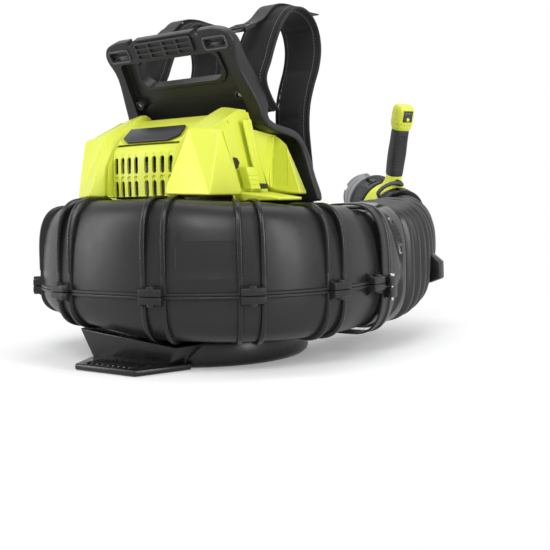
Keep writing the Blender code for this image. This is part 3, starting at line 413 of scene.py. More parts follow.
def finished(thing, finish, body, stands_for=(), angle=35):
    """Dress an object, let it ride on its body and stand for the construction's own nodes."""
    dressed(thing, finish, angle)
    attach(thing, body)
    if stands_for:
        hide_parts(*stands_for)
    return thing


def piece(name, shape, finish, body, stands_for=(), angle=35):
    return finished(as_object(name, shape), finish, body, stands_for, angle)


# ---------------------------------------------------------------- Geometry Nodes

def feed(links, socket, value):
    """Link a socket to another one, or set its value."""
    if isinstance(value, bpy.types.NodeSocket):
        links.new(value, socket)
    else:
        socket.default_value = value


def new_tree(name, inputs):
    """A node tree with the named inputs, and a short way to add nodes to it."""
    tree = bpy.data.node_groups.new(name, "GeometryNodeTree")
    tree.interface.new_socket("Geometry", in_out="INPUT", socket_type="NodeSocketGeometry")
    for label, kind in inputs:
        tree.interface.new_socket(label, in_out="INPUT", socket_type="NodeSocket" + kind)
    tree.interface.new_socket("Geometry", in_out="OUTPUT", socket_type="NodeSocketGeometry")

    def add(kind, values=None, **settings):
        made = tree.nodes.new(kind)
        for key, value in settings.items():
            setattr(made, key, value)
        for key, value in (values or {}).items():
            feed(tree.links, made.inputs[key], value)
        return made
    return tree, add, add("NodeGroupInput"), add("NodeGroupOutput")


def ended(tree, add, copies, given, result):
    """End a tree with its copies made real and given their finish."""
    real = add("GeometryNodeRealizeInstances", {"Geometry": copies.outputs["Instances"]})
    coated = add("GeometryNodeSetMaterial", {"Geometry": real.outputs["Geometry"],
                                             "Material": given.outputs["Finish"]})
    tree.links.new(coated.outputs["Geometry"], result.inputs["Geometry"])
    return tree


def scatter_tree():
    """Copies of a template at every point, turned by the point's facing and run."""
    found = bpy.data.node_groups.get("copies_at_points")
    if found:
        return found
    tree, add, given, result = new_tree("copies_at_points", (("Template", "Object"), ("Size", "Float"),
                                                             ("Finish", "Material")))

    def stored(label):
        return add("GeometryNodeInputNamedAttribute", {"Name": label},
                   data_type="FLOAT_VECTOR").outputs["Attribute"]
    facing = add("FunctionNodeAlignRotationToVector", {"Vector": stored("facing")}, axis="Z")
    turned_to = add("FunctionNodeAlignRotationToVector",
                    {"Rotation": facing.outputs["Rotation"], "Vector": stored("run")},
                    axis="X", pivot_axis="Z")
    template = add("GeometryNodeObjectInfo", {"Object": given.outputs["Template"]})
    copies = add("GeometryNodeInstanceOnPoints",
                 {"Points": given.outputs["Geometry"], "Instance": template.outputs["Geometry"],
                  "Rotation": turned_to.outputs["Rotation"], "Scale": given.outputs["Size"]})
    return ended(tree, add, copies, given, result)


def stitch_tree():
    """Short threads along a drawn line, one stitch and one gap after another."""
    found = bpy.data.node_groups.get("stitches_along_line")
    if found:
        return found
    tree, add, given, result = new_tree("stitches_along_line", (("Stitch", "Float"), ("Pitch", "Float"),
                                                                ("Thread", "Float"), ("Finish", "Material")))
    line = add("GeometryNodeMeshToCurve", {"Mesh": given.outputs["Geometry"]})
    even = add("GeometryNodeResampleCurve",
               {"Curve": line.outputs["Curve"], "Length": given.outputs["Pitch"]}, mode="LENGTH")
    thread = add("GeometryNodeMeshCylinder", {"Vertices": 6, "Radius": given.outputs["Thread"],
                                              "Depth": given.outputs["Stitch"]})
    along = add("GeometryNodeInputTangent")
    turn = add("FunctionNodeAlignRotationToVector", {"Vector": along.outputs["Tangent"]}, axis="Z")
    copies = add("GeometryNodeInstanceOnPoints", {"Points": even.outputs["Curve"],
                                                  "Instance": thread.outputs["Mesh"],
                                                  "Rotation": turn.outputs["Rotation"]})
    return ended(tree, add, copies, given, result)


def grown(thing, tree, values):
    """Run a tree on an object once and keep the plain mesh that it makes."""
    growth = thing.modifiers.new("Growth", "NODES")
    growth.node_group = tree
    for item in tree.interface.items_tree:
        if item.item_type == "SOCKET" and item.in_out == "INPUT" and item.name in values:
            growth[item.identifier] = values[item.name]
    return applied(thing)


def scattered(name, template, places, finish, body):
    """Copies of a template shape at (place, facing, run) rows, as one piece."""
    pattern = as_object(name + "_template", template)
    mesh = bpy.data.meshes.new(name)
    mesh.from_pydata([place * MM for place, _, _ in places], [], [])
    for column, label in ((1, "facing"), (2, "run")):
        stored = mesh.attributes.new(label, "FLOAT_VECTOR", "POINT")
        for slot, row in zip(stored.data, places):
            slot.vector = row[column]
    thing = linked(name, mesh)
    grown(thing, scatter_tree(), {"Template": pattern, "Size": 1.0, "Finish": FINISHES[finish]})
    for label in ("facing", "run"):
        if label in thing.data.attributes:
            thing.data.attributes.remove(thing.data.attributes[label])
    bpy.data.objects.remove(pattern)
    return finished(thing, finish, body)


THREAD_RADIUS = 0.42


def stitched(name, lines, body, share=1.0):
    """Rows of stitches along lines of points on a cloth; share makes them and their gaps shorter."""
    sizes = bpy.context.scene.blower_sizes
    mesh = bpy.data.meshes.new(name)
    points, edges = [], []
    for line in lines:
        start = len(points)
        points += [point * MM for point in line]
        edges += [(start + i, start + i + 1) for i in range(len(line) - 1)]
    mesh.from_pydata(points, edges, [])
    thing = linked(name, mesh)
    grown(thing, stitch_tree(), {"Stitch": sizes.stitch * share, "Pitch": sizes.stitch_pitch * share,
                                 "Thread": THREAD_RADIUS * MM, "Finish": FINISHES["thread"]})
    return finished(thing, "thread", body)


def screw_template(radius, height=1.6):
    """A pan head with a star-shaped socket, facing +Z."""
    sides = 18
    profile = ((radius, -height), (radius, 0), (radius * 0.82, height * 0.55), (radius * 0.5, height * 0.8))
    rings = [circle(UP * level, UP, reach, sides) for reach, level in profile]
    star = [circle(UP * height * 0.8, UP, radius * (0.46 if i % 3 == 0 else 0.36), sides)[i]
            for i in range(sides)]
    return lofted(rings + [star, [point - UP * height * 0.9 for point in star]])


# ---------------------------------------------------------------- finishes

FINISHES = {}


class Tree:
    """A short way to add and join nodes in a material."""

    def __init__(self, name):
        self.material = bpy.data.materials.new(name)
        self.material.use_nodes = True
        self.nodes = self.material.node_tree.nodes
        self.links = self.material.node_tree.links
        self.shader = self.nodes["Principled BSDF"]
        self.place = self.nodes.new("ShaderNodeTexCoord").outputs["Object"]

    def add(self, kind, values=None, **settings):
        made = self.nodes.new("ShaderNode" + kind)
        for name, value in settings.items():
            setattr(made, name, value)
        for name, value in (values or {}).items():
            feed(self.links, made.inputs[name], value)
        return made

    def scaled(self, size, turn=(0, 0, 0)):
        mapping = self.add("Mapping", {"Vector": self.place})
        mapping.inputs["Scale"].default_value = size
        mapping.inputs["Rotation"].default_value = turn
        return mapping.outputs["Vector"]

    def noise(self, scale, detail=2.0, place=None, roughness=0.5):
        return self.add("TexNoise", {"Vector": place or self.place, "Scale": scale, "Detail": detail,
                                     "Roughness": roughness}).outputs["Fac"]

    def ramp(self, value, low, high, to_low=0.0, to_high=1.0):
        return self.add("MapRange", {"Value": value, "From Min": low, "From Max": high, "To Min": to_low,
                                     "To Max": to_high}).outputs["Result"]

    def math(self, operation, first, second=0.0):
        made = self.nodes.new("ShaderNodeMath")
        made.operation = operation
        for socket, value in zip(made.inputs, (first, second)):
            feed(self.links, socket, value)
        return made.outputs[0]

    def mix(self, share, first, second):
        made = self.add("Mix", data_type="RGBA")
        for socket, value in (("Factor", share), (6, first), (7, second)):     # 6 and 7 are its colours
            feed(self.links, made.inputs[socket], value)
        return made.outputs[2]

    def bump(self, height, strength, distance, normal=None):
        values = {"Height": height, "Strength": strength, "Distance": distance}
        if normal:
            values["Normal"] = normal
        return self.add("Bump", values).outputs["Normal"]

    def edges(self, radius):
        """1 along outside edges and 0 on faces: how far the rounded normal leans from the true one."""
        soft = self.add("Bevel", {"Radius": radius}, samples=4).outputs["Normal"]
        true = self.add("NewGeometry").outputs["Normal"]
        lean = self.add("VectorMath", {0: soft, 1: true}, operation="DOT_PRODUCT").outputs["Value"]
        return self.ramp(lean, 0.995, 0.90)

    def set(self, **values):
        for name, value in values.items():
            feed(self.links, self.shader.inputs[name.replace("_", " ")], value)
        return self.material


def shade(colour, factor):
    return (*(min(1.0, part * factor) for part in colour[:3]), 1.0)


def plastic(name, colour, roughness, grain=0.25, grain_scale=900.0, edge_wear_and_highlight_tone=1.35, blotch=0.10, ior=1.40):
    """Moulded plastic: fine spark-eroded grain, slight blotches, and outside edges painted a little brighter,
    partly as wear and partly as a painted highlight along the edges.
    """
    tree = Tree(name)
    cloudy = tree.noise(14.0, 3.0)
    base = tree.mix(tree.ramp(cloudy, 0.3, 0.7), shade(colour, 1 - blotch), shade(colour, 1 + blotch))
    # painted highlight along the outside edges, broken up by noise like wear
    edge_wear_and_highlight_mask = tree.math("MULTIPLY", tree.edges(0.0012), tree.ramp(tree.noise(90.0, 4.0), 0.35, 0.7, 0.25, 1.0))
    base = tree.mix(edge_wear_and_highlight_mask, base, shade(colour, edge_wear_and_highlight_tone))
    fine = tree.noise(grain_scale, 2.0, roughness=0.65)
    rough = tree.ramp(tree.noise(45.0, 4.0), 0.25, 0.75, roughness - 0.05, roughness + 0.06)
    return tree.set(Base_Color=base, Roughness=rough, IOR=ior, Normal=tree.bump(fine, grain, 0.00025))


def gloss(name, colour, roughness):
    """Polished plastic with faint flow ripples and hair-fine scratches."""
    tree = Tree(name)
    swirl = tree.noise(26.0, 2.0)
    hair = tree.noise(260.0, 5.0, tree.scaled((1.0, 1.0, 0.12)), 0.7)
    base = tree.mix(tree.ramp(swirl, 0.3, 0.7), shade(colour, 0.85), shade(colour, 1.2))
    height = tree.math("ADD", tree.math("MULTIPLY", swirl, 0.6), tree.math("MULTIPLY", hair, 0.12))
    return tree.set(Base_Color=base, Roughness=tree.ramp(hair, 0.35, 0.8, roughness, roughness + 0.1),
                    IOR=1.5,
                    Normal=tree.bump(height, 0.12, 0.0008))


def soft_rubber(name, colour, roughness=0.62, pebble=700.0, strength=0.35):
    """Moulded rubber: a fine pebble and a little dust."""
    tree = Tree(name)
    cells = tree.add("TexVoronoi", {"Vector": tree.place, "Scale": pebble}).outputs["Distance"]
    dust = tree.ramp(tree.noise(30.0, 4.0), 0.45, 0.8)
    base = tree.mix(dust, shade(colour, 0.92), shade(colour, 1.35))
    return tree.set(Base_Color=base, Roughness=tree.ramp(dust, 0.0, 1.0, roughness, roughness + 0.12),
                    Normal=tree.bump(cells, strength, 0.0003))


def weave(name, colour, across=0.0011, roughness=0.9, strength=0.6, slub=0.16, crown_highlight=1.55):
    """Plain weave drawn by the piece's own UV map, which is in metres along and across the cloth."""
    tree = Tree(name)
    own = tree.add("UVMap", uv_map="weave").outputs["UV"]
    split = tree.add("SeparateXYZ", {"Vector": own})
    turn = 2 * math.pi / across

    def wave(value, phase=0.0):
        return tree.math("SINE", tree.math("ADD", tree.math("MULTIPLY", value, turn), phase))

    warp, weft = wave(split.outputs["X"]), wave(split.outputs["Y"])
    over = tree.math("MULTIPLY", wave(tree.math("MULTIPLY", split.outputs["X"], 0.5)),
                     wave(tree.math("MULTIPLY", split.outputs["Y"], 0.5)))
    crossing = tree.math("MULTIPLY", tree.math("MULTIPLY", warp, weft), 0.3)
    height = tree.math("ADD", tree.math("ABSOLUTE", over), crossing)
    fuzz = tree.noise(160.0, 4.0)
    height = tree.math("ADD", height, tree.math("MULTIPLY", fuzz, slub * 2))
    # colour follows the weave's height: painted shade in the hollows between threads, painted highlight on
    # the thread crowns
    base = tree.mix(tree.ramp(height, 0.0, 1.3), shade(colour, 0.75), shade(colour, crown_highlight))
    return tree.set(Base_Color=base, Roughness=roughness, Normal=tree.bump(height, strength, 0.00035),
                    Sheen_Weight=0.06, Sheen_Roughness=0.5, Specular_IOR_Level=0.25)


def spacer_mesh(name, colour):
    """Open air mesh: round holes in staggered rows, drawn by a bump and painted dark as painted shade inside
    them.
    """
    tree = Tree(name)
    own = tree.add("UVMap", uv_map="weave").outputs["UV"]
    cells = tree.add("TexVoronoi", {"Vector": own, "Scale": 480.0, "Randomness": 0.12}).outputs["Distance"]
    hole = tree.ramp(cells, 0.28, 0.42)
    # painted shade: the holes are coloured dark, the mesh between them lighter
    base = tree.mix(hole, shade(colour, 0.35), shade(colour, 1.7))
    fuzz = tree.math("ADD", hole, tree.math("MULTIPLY", tree.noise(220.0, 4.0), 0.3))
    return tree.set(Base_Color=base, Roughness=0.92, Normal=tree.bump(fuzz, 0.8, 0.0006), Sheen_Weight=0.08,
                    Specular_IOR_Level=0.25)


def metal(name, colour, roughness, brush=(1.0, 1.0, 30.0)):
    """Bare metal with fine lines drawn out across the brush's long direction."""
    tree = Tree(name)
    lines = tree.noise(140.0, 4.0, tree.scaled(brush))
    base = tree.mix(lines, shade(colour, 0.82), shade(colour, 1.12))
    return tree.set(Base_Color=base, Roughness=tree.ramp(lines, 0.3, 0.7, roughness - 0.06, roughness + 0.1),
                    Normal=tree.bump(lines, 0.15, 0.0002), Metallic=1.0)


def circuit(name, colour):
    """Coated board with tracks."""
    tree = Tree(name)
    tracks = tree.add("TexBrick", {"Vector": tree.place, "Scale": 60.0, "Mortar Size": 0.03,
                                   "Color1": shade(colour, 0.8), "Color2": shade(colour, 1.1),
                                   "Mortar": shade(colour, 2.4)})
    return tree.set(Base_Color=tracks.outputs["Color"],
                    Roughness=tree.ramp(tree.noise(50.0), 0.3, 0.7, 0.35, 0.5),
                    Normal=tree.bump(tracks.outputs["Fac"], 0.2, 0.0002))


STEEL = (0.55, 0.56, 0.58)
COPPER = (0.72, 0.37, 0.20)
ALUMINIUM = (0.72, 0.73, 0.75)
BOARD_GREEN = (0.03, 0.16, 0.08)


def make_finishes(colours):
    """Fill the table of finishes from the panel's colours."""
    black, lime, grey = colours.black, colours.lime, colours.tube_grey
    FINISHES.update(
        satin_black=plastic("satin_black", shade(black, 0.6), 0.27),
        duct_black=plastic("duct_black", colours.duct, 0.34, grain=0.32, grain_scale=1100.0, blotch=0.06,
                           ior=1.37),
        frame_black=plastic("frame_black", black, 0.38, edge_wear_and_highlight_tone=2.6),
        gloss_black=gloss("gloss_black", colours.gloss, 0.16),
        lime=plastic("lime", lime, 0.36, grain=0.12, edge_wear_and_highlight_tone=1.06, blotch=0.025),
        bellows=gloss("bellows", colours.gloss, 0.30),
        rubber=soft_rubber("rubber", colours.rubber),
        grip=soft_rubber("grip", colours.rubber, 0.55, 420.0, 0.5),
        light_grey=plastic("light_grey", grey, 0.42, edge_wear_and_highlight_tone=1.15, blotch=0.05),
        dark_grey=plastic("dark_grey", colours.dark_grey, 0.42),
        collar_grey=plastic("collar_grey", colours.collar, 0.45, edge_wear_and_highlight_tone=1.2),
        badge=plastic("badge", shade(colours.badge, 0.55), 0.30, grain=0.08, edge_wear_and_highlight_tone=2.2),
        fabric=weave("fabric", colours.fabric),
        webbing=weave("webbing", colours.fabric, 0.0021, 0.6, 0.9, 0.08, 2.8),
        binding=weave("binding", colours.fabric, 0.0014, 0.75, 0.8, 0.1, 3.2),
        mesh_fabric=spacer_mesh("mesh_fabric", colours.fabric),
        thread=plastic("thread", colours.thread, 0.7, grain=0.6, grain_scale=2500.0),
        steel=metal("steel", STEEL, 0.32),
        copper=metal("copper", COPPER, 0.35, (30.0, 1.0, 1.0)),
        circuit_board=circuit("circuit_board", BOARD_GREEN),
        aluminium=metal("aluminium", ALUMINIUM, 0.38),
    )


# ---------------------------------------------------------------- ring duct

LABEL_Z = (118, 159)            # shallow blank recesses in the outer wall
LABEL_BEARINGS = ((-84, -55), (-41, -24.5), (26, 43))
LABEL_DEPTH = 0.7
LABEL_EDGE = 0.12               # half the slope at a recess's edge, in degrees
PER_DEGREE = RING_DEPTH * math.radians(1)
ROW_STEP = 2                    # degrees between plain rows of the shells
# a rib of the shells as (place along the ring, height)
SHELL_RIB = ((-3.4, 0), (-3.1, 1.8), (-2.5, 3.1), (-1.5, 3.5), (1.5, 3.5), (2.5, 3.1), (3.1, 1.8), (3.4, 0))
# a rounded band on a rib, from the wall to its top and back
RIB_OUTLINE = ((-3.3, -1.0), (-3.3, 2.3), (-2.6, 3.4), (-1.3, 4.0), (1.3, 4.0), (2.6, 3.4), (3.3, 2.3),
               (3.3, -1.0))
RIB_STEPS = 40


def ring_place(bearing):
    """Outer point of the ring at the seam, seen from the ring's centre; 0 is the back."""
    angle = math.radians(bearing)
    x_share = abs(math.sin(angle)) / RING_HALF_WIDTH
    y_share = abs(math.cos(angle)) / RING_DEPTH
    reach = (x_share ** RING_POWER + y_share ** RING_POWER) ** (-1 / RING_POWER)
    return Vector((reach * math.sin(angle), RING_CENTRE_Y - reach * math.cos(angle), 0))


def ring_frame(bearing):
    """Place and inward direction on the ring."""
    if abs(bearing) >= 89.9:
        side = math.copysign(1, bearing)
        return Vector((side * RING_HALF_WIDTH, RING_CENTRE_Y, 0)), Vector((-side, 0, 0))
    ahead = ring_place(bearing + 0.5) - ring_place(bearing - 0.5)
    inward = Vector((-ahead.y, ahead.x, 0)).normalized()
    return ring_place(bearing), inward


def shell_section(width, height, power, up, rise, recess):
    """Closed section of one shell half as (inset, level) pairs: seam lip, rounded outside, wall, inside."""
    def at(angle, reach, dent=0.0):
        across = bent(math.cos(angle), 2 / power)
        level = (height + reach) * abs(math.sin(angle)) ** (2 / power)
        return (width / 2 - (width / 2 + reach) * across + dent, up * max(level + SEAM_GAP / 2, SEAM_GAP / 2))

    def angle_of(level):
        return math.asin(min(1, (level / height)) ** (power / 2))

    if up > 0:
        low, high = (angle_of(level - SEAM_Z) for level in LABEL_Z)
    else:
        low, high = math.radians(30), math.radians(50)
    edge = math.radians(0.7)
    marks = [math.radians(4) + (low - edge - math.radians(4)) * i / 4 for i in range(5)] + [low]
    marks += [low + (high - low) * i / 4 for i in (1, 2, 3)] + [high, high + edge]
    marks += [high + edge + (math.pi / 2 - high - edge) * i / 7 for i in range(1, 8)]
    marks += [math.pi / 2 + math.radians(84) * i / 12 for i in range(1, 13)]
    outer = [at(a, rise, recess if low - 1e-6 <= a <= high + 1e-6 else 0.0) for a in marks]
    half = SEAM_GAP / 2
    lip = [(-2.6, up * half), (-3.6, up * (half + 0.3)), (-4.0, up * (half + 1)), (-4.0, up * 2.6),
           (-3.5, up * 3.3), (-1.6 - rise / 2, up * 3.6), (-rise, up * 4.4)]
    foot = [(width, up * 3.4), (width, up * half)]
    inner = [at(math.pi * i / 12, -WALL) for i in range(13)]
    return lip + outer + foot + inner[::-1]


def ring_rows(right):
    """(place, inward, bottom, top, width, rib rise, label recess) along the right or the left part."""
    rows = {}
    for lug in LUG_BEARINGS:
        for side in (-1, 1):
            middle = lug + side * RIB_HALF_SPACING / PER_DEGREE
            rows.update({middle + along / PER_DEGREE: (rise, 0) for along, rise in SHELL_RIB})
    taken = list(rows)
    for low, high in LABEL_BEARINGS:
        rows.update({low - LABEL_EDGE: (0, 0), low + LABEL_EDGE: (0, LABEL_DEPTH),
                     high - LABEL_EDGE: (0, LABEL_DEPTH), high + LABEL_EDGE: (0, 0)})
    for step in range(-90, 91, ROW_STEP):
        if all(abs(step - other) > 0.7 for other in taken):
            inside = any(low < step < high for low, high in LABEL_BEARINGS)
            if all(abs(step - edge) > 0.4 for pair in LABEL_BEARINGS for edge in pair):
                rows[step] = (0, LABEL_DEPTH if inside else 0)
    half_gap = SEAM_GAP / 2 / PER_DEGREE
    edge = DIVISION_BEARING + (half_gap if right else -half_gap)
    rows = {at: row for at, row in rows.items() if (at > edge) == right and abs(at - edge) > 0.3}
    rows[edge] = (0, 0)
    stations = []
    if not right:
        place, inward = ring_frame(-90)
        stations.append((Vector((place.x, RING_LEFT_END, 0)), inward, *smooth_table(SECTIONS, -90), 0, 0))
    for at in sorted(rows):
        stations.append((*ring_frame(at), *smooth_table(SECTIONS, at), *rows[at]))
    if right:
        place, inward = ring_frame(90)
        plain = smooth_table(SECTIONS, 90)
        for share in (0, 0.25, 0.5, 0.75, 1):
            y = OUTLET_LUG_Y - 13 + 4 * share
            size = [a + (b - a) * ease(share) for a, b in zip(plain, OUTLET_SECTION)]
            stations.append((Vector((place.x, y, 0)), inward, *size, 0, 0))
        stations.append((Vector((place.x, RING_OUTLET_END, 0)), inward, *OUTLET_SECTION, 0, 0))
    return stations


def lug_places(right):
    """(place, inward) of the lugs on the right or the left part."""
    places = [ring_frame(bearing) for bearing in LUG_BEARINGS if (bearing > DIVISION_BEARING) == right]
    if right:
        outlet, inward = ring_frame(90)
        places.append((Vector((outlet.x, OUTLET_LUG_Y, 0)), inward))
    return places


def lug_blocks(right, up):
    """A rounded block outside the seam at each screw, with a web up to the wall and a raised pad."""
    blocks = []
    half = LUG_LENGTH / 2
    for place, inward in lug_places(right):
        along = Vector((-inward.y, inward.x, 0))

        def spot(run, inset, level):
            return place + along * run + inward * inset + UP * (SEAM_Z + up * level)
        body = [spot(run, inset, level) for run in (-half, half) for inset, level in
                ((2.5, 0.15), (-LUG_REACH, 0.15), (-LUG_REACH, LUG_HEIGHT - 4), (2.5, LUG_HEIGHT - 1))]
        blocks.append(rounded(hull(body), 1.6, 3))
        for end in (-1, 1):
            web = [spot(end * (half - 2.2) + run, inset, level) for run in (-1.6, 1.6) for inset, level in
                   ((3, LUG_HEIGHT - 6), (-LUG_REACH + 1, LUG_HEIGHT - 6), (3, LUG_HEIGHT + 3.5))]
            blocks.append(rounded(hull(web), 0.7, 2))
        centre = spot(0, -LUG_SCREW_INSET, LUG_HEIGHT - 5)
        blocks.append(turned(((5.2, 0), (5.2, 3.4), (4.6, 4), (3.9, 4), (3.9, 2.4)), 28, centre, UP * up))
    return merged(*blocks)


def rib_ring(place, inward, sizes, angle):
    """One section of a rib's band, at an angle round the duct; it stands higher over the shoulder."""
    up, height, width, power = sizes
    along = Vector((-inward.y, inward.x, 0))
    shoulder = max(0.0, math.sin(2 * angle)) ** 1.5 * (5.0 if up > 0 else 1.5)
    ring = []
    for run, reach in RIB_OUTLINE:
        reach += shoulder if reach > 0 else 0
        across = bent(math.cos(angle), 2 / power)
        level = (height + reach) * abs(math.sin(angle)) ** (2 / power) + 0.2
        inset = width / 2 - (width / 2 + reach) * across
        ring.append(place + inward * inset + along * run + UP * (SEAM_Z + up * level))
    return ring


def build_ribs():
    """A round-topped band on every rib of the shells."""
    bands = []
    for lug in LUG_BEARINGS:
        for side in (-1, 1):
            bearing = lug + side * RIB_HALF_SPACING / PER_DEGREE
            place, inward = ring_frame(bearing)
            low, high, width = smooth_table(SECTIONS, bearing)
            for sizes in ((1, high - SEAM_Z, width, UPPER_POWER), (-1, SEAM_Z - low, width, LOWER_POWER)):
                bands.append(lofted([rib_ring(place, inward, sizes,
                                              math.radians(5) + math.radians(168) * i / RIB_STEPS)
                                     for i in range(RIB_STEPS + 1)]))
    piece("duct_ribs", merged(*bands), "satin_black", "machine", angle=40)


def build_ring():
    """The duct's four shells, with their ribs and the screws through their lugs."""
    build_ribs()
    for right, side in ((False, "left"), (True, "right")):
        for up, level, power in ((1, "upper", UPPER_POWER), (-1, "lower", LOWER_POWER)):
            name = "ring_duct_" + level + "_" + side
            rings = []
            for place, inward, low, high, width, rise, recess in ring_rows(right):
                height = (high - SEAM_Z) if up > 0 else (SEAM_Z - low)
                section = shell_section(width, height, power, up, rise, recess if up > 0 else 0)
                rings.append([place + inward * inset + UP * (SEAM_Z + z) for inset, z in section])
            shell = merged(lofted(rings), lug_blocks(right, up))
            piece(name + "_skin", shell, "duct_black", "machine", (name,), angle=28)
    places = []
    for right in (False, True):
        for place, inward in lug_places(right):
            for up in (1, -1):
                middle = place - inward * LUG_SCREW_INSET + UP * (SEAM_Z + up * (LUG_HEIGHT - 2.4))
                places.append((middle, UP * up, -inward))
    scattered("duct_screws", screw_template(3.4, 1.2), places, "steel", "machine")


# ---------------------------------------------------------------- drum and foot

def build_drum():
    """The flat drum, cut straight at its front, and the fan case on it."""
    roof = DRUM_HEIGHT
    profile = [(DRUM_RADIUS - 12, 0.4), (DRUM_RADIUS - 8, 0), (DRUM_RADIUS - 5, 0.8), (DRUM_RADIUS - 1.2,
                                                                                       4.5),
               (DRUM_RADIUS, 8), (DRUM_RADIUS, roof - 5), (DRUM_RADIUS - 1.2, roof - 1.8),
               (DRUM_RADIUS - 5, roof), (96, roof), (95.4, roof + 1.4), (92.8, roof + 1.4), (92, roof)]
    drum = as_object("fan_drum_skin", turned(profile, 128))
    carve(drum, boxes(((-160, DRUM_FRONT_Y, -5), (160, 200, roof + 12))))
    finished(drum, "satin_black", "machine", ("fan_drum",))
    low, high = THROAT_Z
    case = turned(((FAN_RADIUS - WALL, roof + 0.3), (FAN_RADIUS, roof + 0.3), (FAN_RADIUS, 199.4),
                   (FAN_RADIUS - 0.8, 200), (FAN_RADIUS - WALL, 200)), 96, closed=True)
    case = as_object("fan_case_skin", case)
    carve(case, boxes(((-104, -THROAT_HALF_WIDTH, low), (-70, THROAT_HALF_WIDTH, high))))
    finished(case, "satin_black", "machine", ("fan_case",))


TREAD_SPACING = 9


def build_foot():
    """A plate behind the drum with a sloping column up to it, and raised treads."""
    plate = ((-FOOT_HALF_BACK, FOOT_BACK_Y), (FOOT_HALF_BACK, FOOT_BACK_Y),
             (FOOT_HALF_FRONT, FOOT_FRONT_Y), (-FOOT_HALF_FRONT, FOOT_FRONT_Y))
    foot = as_object("foot_bracket_skin",
                     rounded(hull([(x, y, z) for x, y in plate for z in (0, FOOT_THICKNESS)]), 2.4, 3))
    column = hull([(x, y, 4 + rise) for half, back, left, right in ((62, -153, 0, 0), (82, -158,
                                                                                       *COLUMN_RISE))
                   for x, y, rise in ((-half, back, left), (half, back, right), (half + 8, -110, right),
                                      (-half - 8, -110, left))])
    fuse(foot, rounded(column, 2.0, 3, 20))
    rim = DRUM_RADIUS + 0.3
    carve(foot, turned(((rim, -5), (rim, DRUM_HEIGHT + 20)), 96))
    finished(foot, "satin_black", "machine", ("foot_bracket",))
    tread = rounded(boxes(((-2.6, -14, -1.5), (2.6, 14, 1.6))), 0.9, 2)
    reach = 4 * TREAD_SPACING
    rows = [(Vector((x, FOOT_BACK_Y + 21, FOOT_THICKNESS)), UP, X_AXIS)
            for x in range(-reach, reach + 1, TREAD_SPACING)]
    scattered("foot_treads", tread, rows, "satin_black", "machine")


# ---------------------------------------------------------------- lime housing and battery bays

def round_prism(outline, low, high, place):
    """A prism from (a, b) pairs between two depths; place turns (a, b, depth) into a point."""
    return lofted([[place(a, b, depth) for a, b in outline] for depth in (low, high)])


# where a battery slides in: between the fin's slanted edge, the wing and the wall between them
BAY_SPACE = tuple((x, y, z) for x in (BAY_INNER_X, 200) for y, z in ((-55, 208), (-103, 292), (-133, 345)))
BAY_SPACE += ((95, 26, 208), (95, 26, 214), (95, -9, 302), (95, -26, 345), (107, 27, 208), (107, 27, 345),
              (200, 27, 208), (200, 27, 345))
# what is cut from the front of a fin, so that its side stands back from its front in a straight fold
FACET = tuple((x + out * 0.6, y - out * 0.75, z + out * 0.2) for out in (0, 30)
              for x, y, z in ((69.5, -112, 300.5), (112, -127, 213.5), (115.5, -109, 292.5), (63, -157.5,
                                                                                              215.5)))
# the outline (y, z) of the wall at the back of the bay, and the recesses in it
BAY_WALL = ((-54, 206), (25.7, 206), (25.7, 213), (-8.6, 300), (-13, 308), (-20, 323), (-55, 320),
            (-106, 297.5), (-101, 290))
WALL_SLOT = ((-93, 300.5), (-66, 310), (-64, 305.5), (-91, 296))
WALL_HOLE = ((-61, 260), (-55, 263), (-47, 262), (-41, 256), (-44, 249), (-52, 246))
# a dark plate just behind the slotted panel, as (y, z): painted shade, so the slots read dark
VENT_SHADE_PLATE = ((-114, 212), (-114, 250), (-110, 268), (-106, 276), (-105, 276), (-109, 268), (-112.5, 250),
          (-112.5, 212))
# the slotted panel's line (y, z) at its middle, and the rows of slots in it
PANEL_LINE = ((-118.6, 214), (-119, 232), (-119, 252), (-118.4, 266), (-115, 275.5), (-110, 281))
PANEL_HALF = 54
PANEL_BOW = 5.0
PANEL_THICKNESS = 3
SLOT_ROWS = ((214, 235.6), (244, 266.5))
SLOT_FIRST, SLOT_SPACING, SLOT_HALF = 8.8, 12.4, 3.5
PLAQUE_LEAN = Vector((0, 25, 22)).normalized()
PLAQUE_OUT = Vector((0, -22, 25)).normalized()
PLAQUE_FOOT = Vector((0, -109, 285)) + PLAQUE_OUT * 0.3
PLAQUE = ((-35, 0), (-48, 9), (-47, 29), (47, 29), (48, 9), (35, 0))
PLAQUE_RECESS = ((-39, -4), (-53, 8), (-51, 33), (51, 33), (53, 8), (39, -4))


def on_plaque(outline, low, high):
    """Corner points of a plate on the plaque's lean, between two depths."""
    return [PLAQUE_FOOT + Vector((x, 0, 0)) + PLAQUE_LEAN * s + PLAQUE_OUT * depth
            for x, s in outline for depth in (low, high)]


